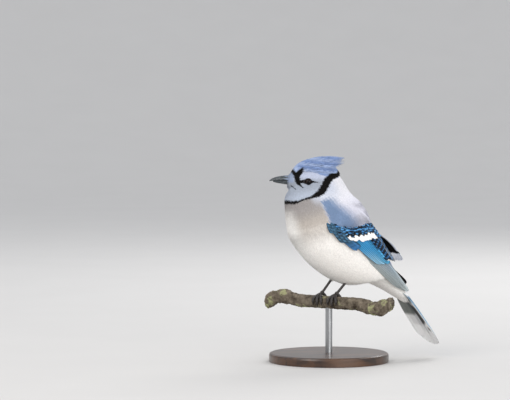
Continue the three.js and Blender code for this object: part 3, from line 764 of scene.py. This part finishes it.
def tertialPaint(part, i):
    return dict(web=ink["wingBlue"] * 0.85, inner=ink["black"], bar=0.97, barPeriod=5.6, barShare=0.7,
                phase=i * 2.3, tip=1.6, rim=0.9, innerRim=0.95 * (part > 0.9),
                edgeInk=ink["pale"] if part > 0.7 else ink["black"])


def greaterPaint(part, i):
    web = mix(ink["wingBlue"], ink["wingBright"], 0.5 + 0.5 * math.sin(i * 2.7))
    if part < 0.16:
        return dict(web=ink["wingDull"], inner=ink["wingDull"] * 0.6, bar=0.6, phase=i * 2.1, rim=0.9)
    if part > 0.84:
        return dict(web=web, inner=ink["wingDeep"], bar=0.95, barShare=0.6, phase=i * 2.1, rim=0.7,
                    innerRim=0.7 * (part > 0.99))
    return dict(web=web, inner=ink["wingBlue"] * 0.8, bar=0.97, barPeriod=dice.uniform(3.9, 5.2),
                barShare=0.55, phase=i * 2.1 + dice.uniform(-1, 1),
                tip=4.2 + 4.2 * part + dice.uniform(-1, 1), band=dice.uniform(1.2, 3), rim=0.6)


def outerPaint(part, i):
    return dict(web=ink["wingDull"], webTip=ink["wingBlue"], inner=ink["wingDull"] * 0.5, bar=0.35,
                rim=0.9)


def medianPaint(part, i):
    web = mix(ink["wingBlue"], ink["wingBright"], 0.5 + 0.5 * math.sin(i * 2.1))
    if part < 0.12:
        return dict(web=ink["wingDull"], inner=ink["wingDull"] * 0.6, bar=0.5, phase=i * 2.2, rim=0.8)
    return dict(web=web, inner=ink["wingBlue"] * 0.8, bar=0.97, barPeriod=dice.uniform(3.8, 5.4),
                barShare=0.5, phase=i * 2.2 + dice.uniform(-1, 1), rim=0.4)


# Tiers from the wing's tip to the shoulder. Places are trunk station, angle from the back and lift.
# Under far stands what the far wing's blades have: stations more in length, white tip and edge below.
wingTiers = [
    dict(count=10, root=[(5.02, 87, -1.6), (5.44, 55, -1.2)], tip=[(10.3, 92, 1.8), (10.51, 47, 2.6)],
         width=3.2, length=62, rows=36, tilt=0.12, bow=3.2, fan=0.3, far=dict(tip=0, longer=0.0, edge=0),
         paint=primaryPaint),
    dict(count=9, root=[(4.54, 89, -0.4), (4.81, 61, 0.2)], tip=[(7.03, 67, 2.2), (7.27, 47, 2.9)],
         width=3.7, length=46, rows=40, tilt=0.14, bow=2.2, far=dict(tip=4, longer=0.7, edge=0),
         paint=secondaryPaint),
    dict(count=6, root=[(4.8, 56, 2.0), (4.8, 28, 1.0)], tip=[(7.0, 47, 3.0), (7.55, 23, 3.5)],
         width=4.3, length=44, rows=44, tilt=0.1, far=dict(tip=8, longer=0.75, edge=1.0),
         paint=tertialPaint),
    dict(count=6, root=[(3.9, 102, 0.4), (4.2, 92, 1.4)], tip=[(5.6, 86, 1.9), (5.5, 79, 2.4)],
         width=2.5, length=30, rows=24, tilt=0.1, paint=outerPaint),
    dict(count=16, root=[(3.9, 102, 0.6), (4.5, 32, 0.4)], tip=[(4.95, 96, 2.6), (5.5, 32, 4.0)],
         width=2.9, length=19, rows=44, tilt=0.14, paint=greaterPaint),
    dict(count=15, root=[(3.4, 103, -2.4), (4.45, 31, -2.6)], tip=[(4.25, 103, 1.8), (5.05, 32, 3.3)],
         width=2.8, length=16, rows=34, tilt=0.14, paint=medianPaint),
]


def tierBlades(side, tier):
    blades = []
    length = tier["length"]
    far = tier.get("far") if side < 0 else None
    for i in range(tier["count"]):
        part = i / (tier["count"] - 1)
        root, tip = ([lo + (hi - lo) * part for lo, hi in zip(*tier[end])] for end in ("root", "tip"))
        tip[0] += dice.normal(0, 0.045) + tier.get("fan", 0) * math.sin(part * math.pi)
        colour = featherPaint(length, **tier["paint"](part, i))
        if far:
            tip[0] += far["longer"]
            colour = blackBelow(colour, length, far["tip"], far["edge"] * (part > 0.9))
        blades.append(dict(
            rows=tier["rows"], columns=11, width=tier["width"], length=length, outline=featherOutline,
            camber=0.35, thick=0.3, frameAt=wingFrame(side, root, tip, tier["tilt"], tier.get("bow", 0)),
            colour=colour,
        ))
    return blades


for name, side in (("left", 1), ("right", -1)):
    blades = [blade for tier in wingTiers for blade in tierBlades(side, tier)]
    vanePiece(f"{name}_wing_feathers", blades, [f"{name}_wing"])
print("wings made")


# Tail: twelve feathers, the middle pair on top.

tail = dict(pairs=6, width=5.6, spread=1.9, layer=0.75, rounding=1.6)


def tailBlade(pair, side):
    shorter = 1 - (pair * pair * tail["rounding"]) / (tailLength * 3)

    def frameAt(t):
        t = t * shorter
        roll = form["tailRoll"] * smooth(t, 0, 0.5)
        aside = side * (0.8 + pair * (0.6 + (tail["spread"] - 0.6) * t))
        low = -pair * tail["layer"] - (tail["layer"] / 2 if side < 0 else 0)
        centre = form["tailRoot"] + tailLine * t[:, None]
        shift = np.stack([aside, 0 * t, 0 * t], -1) + tailUp * (low + 2)
        centre = centre + turned(shift, tailAlong, roll)
        turn = roll + side * math.radians(2.5 * pair)
        wide = turned(np.broadcast_to([1.0, 0, 0], centre.shape), tailAlong, turn)
        return centre, wide, turned(np.broadcast_to(tailUp, centre.shape), tailAlong, turn)

    def colour(t, a, top):
        along = t * tailLength * shorter
        outerWeb = smooth(a * side, 0.0, 0.3)
        left = tailLength * shorter - along
        if top:
            base = mix(ink["tailBlue"] * 0.75, ink["tailBlue"], outerWeb)
            base = mix(base, ink["black"], bars(along, 4.2, 0.3) * 0.85)
            base = mix(base, ink["black"], (1 - smooth(left, 14, 18)) * (pair > 0))
            base = mix(base, ink["pale"], smooth(a * side, 0.55, 0.75) * (pair > 2))
            return mix(base, ink["white"], (1 - smooth(left, 8, 11)) * (pair > 0))
        # Below: white webs with a grey base and a pale blue rim. The left half has a black wedge and
        # a spot, and the right half a faint wedge.
        outer = a * side
        whiteFrom = 35 if side > 0 else 47
        webs = smooth(along + outer * 2, whiteFrom, whiteFrom + 5)
        base = mix(ink["underGrey"] * 0.85, ink["white"], webs)
        wedge = smooth(0.4 - outer, -0.12, 0.15) * smooth(along - outer * 3, 36, 44)
        wedge = wedge * (1 - smooth(along + outer * 3, 60, 64)) * (0.95 if side > 0 else 0.2)
        base = mix(base, ink["black"] * 3, wedge)
        spot = np.exp(-((along - 70.5) / 2.6) ** 2 - ((outer + 0.3) / 0.35) ** 2)
        base = mix(base, ink["black"] * 3, spot * (pair == 5) * (side > 0))
        rim = smooth(outer, 0.72, 0.9) * (1 - smooth(along, 60, 80))
        return mix(base, ink["tailPale"], rim * (pair < 5))

    return dict(rows=70, columns=11, width=tail["width"], length=tailLength, frameAt=frameAt, colour=colour,
                outline=lambda t: featherOutline(t, 0.5, 0.6), camber=0.5, thick=0.3)


tailBlades = [tailBlade(pair, side) for pair in range(tail["pairs"]) for side in (1, -1)]
vanePiece("tail_feathers", tailBlades, ["tail"])
print("tail made")


# Crest: fine blades from the forehead back, wispy at the rear, and bristles over the bill's base.

crest = dict(rows=15, columns=46, first=0.02, span=0.68)
bristles = dict(count=34, spread=82, height=182)


def crestBlade(start, down, length, width, stray):
    def frameAt(t):
        depth = 1.5 + 2.4 * smooth(start, 0, 0.5)
        lift = -depth + (depth - 0.1 + 0.35 * stray) * np.sqrt(t)
        at = start + t * length
        sweep = down + 0.05 * (stray - 0.5) * t
        centre = crownPoint(at, sweep, lift)
        across = unit(crownPoint(at, sweep + 0.02, lift) - crownPoint(at, sweep - 0.02, lift))
        along = unit(np.gradient(centre, axis=0))
        return centre, across, unit(np.cross(across, along))

    def colour(t, a, top):
        line = markings(frameAt(t[:, 0])[0])
        line = line * (0.94 + 0.12 * stray)
        line = mix(line, ink["face"], smooth(t[:, 0], 0.75, 1) * smooth(start + length, 0.88, 1) * 0.8)
        return line[:, None] * (1 + 0.05 * np.cos(a * 5))[..., None]
    return dict(rows=8, columns=3, width=width, length=length * 60, frameAt=frameAt, colour=colour,
                outline=lambda t: np.clip(1.05 - t, 0.08, 1) ** 0.7 * (0.6 + 0.4 * smooth(t, 0, 0.3)),
                camber=0.12, thick=0.22)


def crestBlades():
    blades = []
    for row in range(crest["rows"]):
        for column in range(crest["columns"]):
            start = crest["first"] + crest["span"] * row / (crest["rows"] - 1) + dice.uniform(-0.025, 0.025)
            down = (column + dice.uniform(0, 1)) / crest["columns"] * 2 - 1
            away = abs(down)
            # The rear edge isn't even: a notch above, a point halfway down, and shorter below.
            end = 1.0 - 0.05 * math.exp(-((away - 0.28) / 0.1) ** 2)
            end += 0.06 * math.exp(-((away - 0.5) / 0.09) ** 2)
            end -= 0.13 * smooth(away, 0.56, 0.78) + dice.uniform(0, 0.04)
            length = min(dice.uniform(0.24, 0.33), end - start)
            blades.append(crestBlade(start, down, length, dice.uniform(0.55, 0.85), dice.uniform(0, 1)))
    return blades


vanePiece("crest_feathers", crestBlades(), ["head"], downMaterial)


def nasalBlades():
    blades = []
    for i in range(bristles["count"]):
        angle = math.radians(dice.uniform(-bristles["spread"], bristles["spread"]))
        begin = dice.uniform(-39.5, -37)
        end = begin - dice.uniform(6, 9.5)

        def frameAt(t, angle=angle, begin=begin, end=end):
            reach = 3.6 + 1.7 * np.sin(t * math.pi * 0.6) - 0.9 * t
            spot = turnHead(np.stack([math.sin(angle) * reach * 0.95, begin + (end - begin) * t,
                                      bristles["height"] + math.cos(angle) * reach], -1))
            out = np.broadcast_to(withHead([math.sin(angle), 0, math.cos(angle)]), spot.shape)
            return spot, np.cross(withHead([0, 1, 0]), out), out

        def colour(t, a, top):
            line = mix(ink["crownLight"] * 0.75, ink["hornPale"], smooth(t, 0.3, 1))
            return line * dice.uniform(0.8, 1.1)
        blades.append(dict(rows=7, columns=3, width=0.55, length=8, frameAt=frameAt, colour=colour,
                           outline=lambda t: np.clip(1.15 - t, 0.1, 1), camber=0.1, thick=0.2))
    return blades


vanePiece("nasal_bristles", nasalBlades(), ["head"], downMaterial)
print("crest made")


# Eyes and lids

def buildEye(name, side):
    ball = bmesh.new()
    bmesh.ops.create_uvsphere(ball, u_segments=48, v_segments=32, radius=eyeSpot["radius"] * mm)
    spot = eyePlace(side, eyeSpot["depth"])
    facing = Vector(withHead([side, 0, 0]))
    for vert in ball.verts:
        vert.co.z *= eyeSpot["height"]
        bulge = max(0.0, vert.co.normalized().dot(facing) - 0.75)
        vert.co += facing * bulge * eyeSpot["corneaRise"] * mm
        vert.co += Vector(spot * mm)
    piece = objectFrom(name + "_ball", ball)
    points = pointsOf(piece.data)
    away = np.degrees(np.arccos(np.clip((unit(points - spot) * np.array(facing)).sum(1), -1, 1)))
    iris = mix(linear("#1f120c"), linear("#0c0705"), smooth(away, 34, 46))
    paint(piece, mix(np.broadcast_to(linear("#040303"), iris.shape), iris, smooth(away, 22, 25)))
    finish(piece, [name], corneaMaterial)
    finish(lidMesh(name, spot, np.array(facing)), ["head"], lidMaterial)


# The lid is a thin rim, drawn out to a point before and behind the eye.
def lidMesh(name, spot, outward):
    turns = np.linspace(0, 2 * math.pi, 49)
    rimY = eyeSpot["lidLong"] * np.cos(turns) * (1 + 0.2 * np.abs(np.cos(turns)) ** 7)
    rimZ = eyeSpot["lidHigh"] * np.sin(turns)
    under = 1 - (rimY ** 2 + (rimZ / eyeSpot["height"]) ** 2) / eyeSpot["radius"] ** 2
    bulge = np.maximum(eyeSpot["radius"] * np.sqrt(np.clip(under, 0, 1)), eyeSpot["depth"] - 0.5) + 0.1
    thick = eyeSpot["lidThick"] + 0.1 * np.sin(turns)
    loops = []
    for v in np.linspace(0, 2 * math.pi, 9):
        wide = 1 + np.cos(v) * thick / 3.6
        loops.append(spot + withHead([0, 1, 0]) * (rimY * wide)[:, None] + upward * (rimZ * wide)[:, None]
                     + outward * (bulge + np.sin(v) * thick)[:, None])
    return gridMesh(name + "_lid", np.stack(loops, 0))


# Cornea: wet and clear over a dark iris, so it looks near black with one small highlight.
corneaMaterial, tree, shader = newMaterial("wet dark cornea", Roughness=0.1, Specular_IOR_Level=0.12,
                                           Coat_Weight=0.15, Coat_Roughness=0.02)
pigment = addNode(tree, "ShaderNodeAttribute", attribute_name="pigment")
tree.links.new(pigment.outputs["Color"], shader.inputs["Base Color"])
# Eyelid: bare dark skin, a little rough.
lidMaterial = grainedMaterial("bare eyelid skin", "#0d0a09", "#1d1816", 0.4, Roughness=0.5)
buildEye("left_eye", 1)
buildEye("right_eye", -1)
print("eyes made")


# Bill: dark slate horn with a satin shine, its streaks drawn out along the bill.

hornMaterial = grainedMaterial("bill horn keratin", "#272c2f", "#5c6367", 1.2, stops=(0.35, 0.72),
                               stretch=(1, 0.25, 1), noise={"Detail": 4.0}, bump=0.3,
                               Roughness=0.38, Specular_IOR_Level=0.5)

# Rows along the bill: y, z, half width, height above and depth below.
upperBill = [(-33, 182, 4.6, 5.2, 0.3), (-40, 182, 4.4, 5, 0.3), (-46, 181.9, 3.7, 4.6, 0.3),
             (-52, 181.8, 2.7, 3.9, 0.3), (-57, 181.7, 1.6, 2.4, 0.3), (-60.2, 181.2, 0.5, 0.8, 0.3)]
lowerBill = [(-34, 181, 4.3, 0.75, 4), (-40, 181, 4.1, 0.75, 3.6), (-46, 181, 3.3, 0.75, 2.9),
             (-52, 181, 2.3, 0.75, 1.9), (-56.5, 181, 1.1, 0.7, 0.8)]
for name, rows in (("upper_bill", upperBill), ("lower_bill", lowerBill)):
    row = curve(rows, np.linspace(0, len(rows) - 1, 40))
    angle = np.linspace(0, 2 * math.pi, 33)
    high = np.cos(angle)[None]
    reach = np.where(high > 0, row[:, 3:4], row[:, 4:5])
    pinch = np.abs(np.sin(angle))[None] ** 1.25 * np.sign(np.sin(angle))[None]
    spots = np.stack([pinch * row[:, 2:3], row[:, 0:1] + 0 * high, row[:, 1:2] + high * reach], -1)
    finish(gridMesh(name + "_horn", turnHead(spots)), [name], hornMaterial)
print("bill made")


# Perch, feet and legs

perch = dict(top=66, radius=6.6, length=150, heading=math.radians(35), spacing=18)
perchAlong = np.array([math.cos(perch["heading"]), math.sin(perch["heading"]), 0])
perchAcross = np.array([math.sin(perch["heading"]), -math.cos(perch["heading"]), 0])
perchAxis = perch["top"] - perch["radius"]


def perchSpot(along, rise=0.0):
    along = np.asarray(along, float)
    return perchAlong * along[..., None] + upward * (perchAxis + rise + 0 * along)[..., None]


# Bark: grey-brown cork with cracks, and pale green crusts of lichen.
barkMaterial, tree, shader = newMaterial("weathered bark", Roughness=0.92, Specular_IOR_Level=0.2)
place = addNode(tree, "ShaderNodeTexCoord")
mottle = addNode(tree, "ShaderNodeTexNoise", {"Vector": place.outputs["Object"], "Scale": 1 / (6 * mm),
                                              "Detail": 6.0, "Roughness": 0.65})
cracks = addNode(tree, "ShaderNodeTexVoronoi", {"Vector": place.outputs["Object"], "Scale": 1 / (3.2 * mm)},
                 feature="DISTANCE_TO_EDGE")
patches = addNode(tree, "ShaderNodeTexNoise", {"Vector": place.outputs["Object"], "Scale": 1 / (14 * mm),
                                               "Detail": 5.0, "Roughness": 0.7})
cork = addNode(tree, "ShaderNodeValToRGB", {"Fac": mottle.outputs["Fac"]})
lichen = addNode(tree, "ShaderNodeValToRGB", {"Fac": patches.outputs["Fac"]})
for ramp, stops, colours in ((cork, (0.32, 0.68), ("#3a3128", "#8a7f6f")),
                             (lichen, (0.54, 0.6), ("#000000", "#ffffff"))):
    for stop, position, colour in zip(ramp.color_ramp.elements, stops, colours):
        stop.position = position
        stop.color = rgba(colour)
cover = addNode(tree, "ShaderNodeMix", {"Factor": lichen.outputs["Color"], 6: cork.outputs["Color"],
                                        7: rgba("#9a9a74")}, data_type="RGBA")
tree.links.new(cover.outputs[2], shader.inputs["Base Color"])
rough = addNode(tree, "ShaderNodeBump", {"Height": cracks.outputs["Distance"], "Strength": 0.5,
                                         "Distance": 0.6 * mm})
finer = addNode(tree, "ShaderNodeBump", {"Height": mottle.outputs["Fac"], "Strength": 0.6,
                                         "Distance": 0.8 * mm, "Normal": rough.outputs["Normal"]})
tree.links.new(finer.outputs["Normal"], shader.inputs["Normal"])


def buildPerch():
    half = perch["length"] / 2
    along = np.linspace(-half, half, 201)
    bend = smooth(np.abs(along), 22, half)
    centre = perchSpot(along, bend * 5 * np.sin(along * 0.09))
    radius = perch["radius"] + bend * (0.9 + 0.9 * np.sin(along * 0.32)) - 0.25
    turns = np.linspace(0, 2 * math.pi, 73)
    a, t = along[:, None], turns[None]
    knobs = 0.35 * np.sin(a * 0.7 + 2 * np.sin(t)) + 0.25 * np.sin(a * 1.9 + 3 * np.cos(t + a * 0.1))
    ridges = 0.22 * np.sin(t * 9 + 1.5 * np.sin(a * 0.25)) + 0.15 * np.sin(t * 17 + a * 0.6)
    rough = (knobs + ridges) * (0.45 + 0.75 * bend[:, None])
    reach = radius[:, None] + np.minimum(rough, 0.35 + 0.9 * bend[:, None]) - 0.1
    spokes = perchAcross * np.sin(t)[..., None] + upward * np.cos(t)[..., None]
    return gridMesh("perch_bark", centre[:, None] + spokes * reach[..., None])


finish(buildPerch(), ["perch"], barkMaterial)

# Legs and toes: dark horny scales in rings, with a low shine.
scaleMaterial = grainedMaterial("leg scale keratin", "#1b1716", "#4a4340", 0.9, stops=(0.35, 0.75),
                                noise={"Detail": 3.0}, Roughness=0.5)
# Toes: way across the perch, spread along it, angle round it, radius.
leg = dict(ankleRise=2.6, ankleRadius=2.1, heel=(3, 17, 21), tarsusRadii=[1.35, 1.25, 1.3, 1.7],
           thighReach=(-9, -2, 4, 8), thighRadii=[5.6, 4.6, 3.0, 1.5],
           toes=[(1, 0, 2.15, 1.5), (1, 5, 1.95, 1.4), (1, -5, 1.95, 1.4), (-1, 0, 2.1, 1.6)])
thighCoat = dict(spacing=0.5, length=4.2, width=0.75, lift=0.2, keep=lambda p: p[:, 2] < 96)


def limbMesh(name, points, radii, scutes, scuteHeight):
    steps = np.linspace(0, len(points) - 1, 12 * (len(points) - 1) + 1)
    path = curve(points, steps)
    radius = curve(np.asarray(radii, float)[:, None], steps)[:, 0]
    run = np.concatenate([[0], np.cumsum(np.linalg.norm(np.diff(path, axis=0), axis=1))])
    along = unit(np.gradient(path, axis=0))
    side = unit(np.cross(along[:, [2, 0, 1]], along))
    up = np.cross(side, along)
    turns = np.linspace(0, 2 * math.pi, 17)
    ring = np.abs(np.sin(run * math.pi / scutes)) ** 0.6
    reach = radius * (1 + scuteHeight * (ring - 0.5))
    spots = path[:, None] + (side[:, None] * np.sin(turns)[None, :, None]
                             + up[:, None] * np.cos(turns)[None, :, None]) * reach[:, None, None]
    return gridMesh(name, spots)


def toeMesh(at, forward, spread, wrap, radius):
    part = np.linspace(0, 1, 9)
    claw = smooth(part, 0.72, 1)
    reach = perch["radius"] + 0.15 + radius + (0.9 - radius) * claw
    angle = part * wrap
    centre = perchSpot(at + spread * smooth(part, 0, 0.7))
    points = centre + perchAcross * (forward * np.sin(angle) * reach)[:, None]
    points[:, 2] += np.cos(angle) * reach
    radii = radius + (0.25 - radius) * claw + 0.12 * np.sin(part * 14)
    return limbMesh("toe", points, radii, 1.1, 0.1)


def buildFoot(name, side):
    at = side * perch["spacing"] / 2
    ankle = perchSpot(at) - perchAcross + upward * (perch["radius"] + leg["ankleRise"])
    ball = bmesh.new()
    bmesh.ops.create_uvsphere(ball, u_segments=20, v_segments=14, radius=leg["ankleRadius"] * mm)
    bmesh.ops.translate(ball, verts=ball.verts, vec=Vector(ankle * mm))
    toes = [objectFrom("ankle", ball), *(toeMesh(at, *toe) for toe in leg["toes"])]
    finish(joined(f"{name}_foot_toes", toes), [f"{name}_foot"], scaleMaterial)
    heel = ankle + np.array(leg["heel"]) * (side, 1, 1)
    shin = unit(ankle - heel)
    thigh = limbMesh(f"{name}_thigh", [heel + shin * reach for reach in leg["thighReach"]],
                     leg["thighRadii"], 6, 0.0)
    paint(thigh, np.broadcast_to(ink["belly"], (len(thigh.data.vertices), 3)))
    finish(thigh, None, skinMaterial)
    buildCoat(f"{name}_thigh", thigh, thighCoat, shin)
    points = [ankle + (heel - ankle) * part for part in (0, 0.3, 0.65, 1)]
    finish(limbMesh(f"{name}_tarsus", points, leg["tarsusRadii"], 2.2, 0.12), [f"{name}_leg"],
           scaleMaterial)


for name, side in (("left", 1), ("right", -1)):
    buildFoot(name, side)
print("perch and feet made")


# Stand: a turned hardwood base and a steel rod that ends inside the perch.

stand = dict(radius=60, height=9, foot=0.5, rodRadius=3.5, rodLow=4.2, rodShort=1.2,
             roundedEdge=[(0, 2.4), (0.6, 0.8), (2.2, 0)])  # inset and drop from the top rim
# Walnut with a satin lacquer: brown streaks along the grain under a soft coat.
woodMaterial = grainedMaterial("lacquered walnut", "#2c1c12", "#5b3d27", 7, stops=(0.35, 0.7),
                               stretch=(1, 0.12, 1), noise={"Detail": 6.0, "Distortion": 0.6},
                               Roughness=0.32, Coat_Weight=0.3, Coat_Roughness=0.2)
# Steel brushed along the rod: fine upright streaks in the shine.
steelMaterial = grainedMaterial("brushed steel", "#8d8f91", "#b9bbbd", 0.5, stretch=(1, 1, 0.05),
                                Metallic=1.0, Roughness=0.32)


# An outline (distance from the axis, height) turned once round the upright axis.
def turnedShape(outline, steps):
    shape = bmesh.new()
    verts = [shape.verts.new((x * mm, 0, z * mm)) for x, z in outline]
    edges = [shape.edges.new(pair) for pair in zip(verts[:-1], verts[1:])]
    bmesh.ops.spin(shape, geom=verts + edges, cent=(0, 0, 0), axis=(0, 0, 1), angle=2 * math.pi,
                   steps=steps, use_merge=True)
    bmesh.ops.remove_doubles(shape, verts=shape.verts, dist=1e-6)
    return shape


def turnedPiece(name, outline, steps):
    shape = turnedShape(outline, steps)
    bmesh.ops.recalc_face_normals(shape, faces=shape.faces)
    return objectFrom(name, shape)


def buildStand():
    wide, high = stand["radius"], stand["height"]
    rim = [(wide - inset, high - drop) for inset, drop in stand["roundedEdge"]]
    outline = [(0, 0), (wide - stand["foot"], 0), (wide, stand["foot"]), *rim, (0, high)]
    finish(turnedPiece("base_disc", outline, 128), ["stand_base"], woodMaterial, False)
    low, top = stand["rodLow"], perchAxis - stand["rodShort"]
    outline = [(0, low), (stand["rodRadius"], low), (stand["rodRadius"], top), (0, top)]
    finish(turnedPiece("rod_bar", outline, 48), ["stand_rod"], steelMaterial, False)


buildStand()
print("stand made")


# Floor, light and camera

# Matt pale paper, its tone wandering nine times in a metre.
floorMaterial = grainedMaterial("matt pale paper floor", "#cbc9c6", "#cfcdca", 1000 / 9, Roughness=0.9)
# The floor is flat to beyond the camera and then sweeps up on every side, so no edge shows.
sweep = dict(flat=3000, reach=4000, rise=2600, bend=2.2, steps=16)
floorLine = [(0, 0)]
for part in np.linspace(0, 1, sweep["steps"] + 1):
    floorLine.append((sweep["flat"] + sweep["reach"] * part, sweep["rise"] * part ** sweep["bend"]))
floor = objectFrom("floor", turnedShape(floorLine, 96))
floor.data.polygons.foreach_set("use_smooth", [True] * len(floor.data.polygons))
floor.data.materials.append(floorMaterial)

world = bpy.data.worlds.new("soft daylight")
world.use_nodes = True
background = world.node_tree.nodes["Background"]
background.inputs["Color"].default_value = rgba("#eef1f7")
background.inputs["Strength"].default_value = 1.0
bpy.context.scene.world = world
bpy.context.scene.view_settings.view_transform = "Standard"

# birdX and centreX are pixels of the frame, and a pixel is a millimetre at the bird.
view = dict(azimuth=math.radians(72), elevation=math.radians(3), distance=2.83, lens=199.8, sensor=36,
            farthest=50, birdX=329, centreX=255, aimHeight=162)
right = np.array([math.cos(view["azimuth"]), math.sin(view["azimuth"]), 0])
toCamera = np.array([math.sin(view["azimuth"]) * math.cos(view["elevation"]),
                     -math.cos(view["azimuth"]) * math.cos(view["elevation"]), math.sin(view["elevation"])])
aim = (right * (view["centreX"] - view["birdX"]) + upward * view["aimHeight"]) * mm


def areaLight(name, spot, target, size, power, colour):
    light = bpy.data.lights.new(name, "AREA")
    light.shape = "DISK"
    light.size = size
    light.energy = power
    light.color = linear(colour)
    lamp = linked(name, light)
    lamp.location = Vector(spot)
    lamp.rotation_euler = (Vector(target) - Vector(spot)).to_track_quat("-Z", "Y").to_euler()


heart = (0, 0, 0.13)
areaLight("key", toCamera * 1.2 - right * 1.1 + upward * 1.3, heart, 1.2, 13, "#fffaf4")
areaLight("fill", toCamera * 1.5 + right * 0.9 + upward * 0.1, heart, 1.5, 20, "#fbfaf8")
areaLight("rim", -toCamera * 1.2 + right * 0.6 + upward * 1.2, heart, 1.0, 10, "#ffffff")

camera = linked("camera", bpy.data.cameras.new("camera"))
camera.data.lens = view["lens"]
camera.data.sensor_width = view["sensor"]
camera.data.clip_end = view["farthest"]
camera.location = Vector(aim + toCamera * view["distance"])
camera.rotation_euler = (-Vector(toCamera)).to_track_quat("-Z", "Y").to_euler()
bpy.context.scene.camera = camera
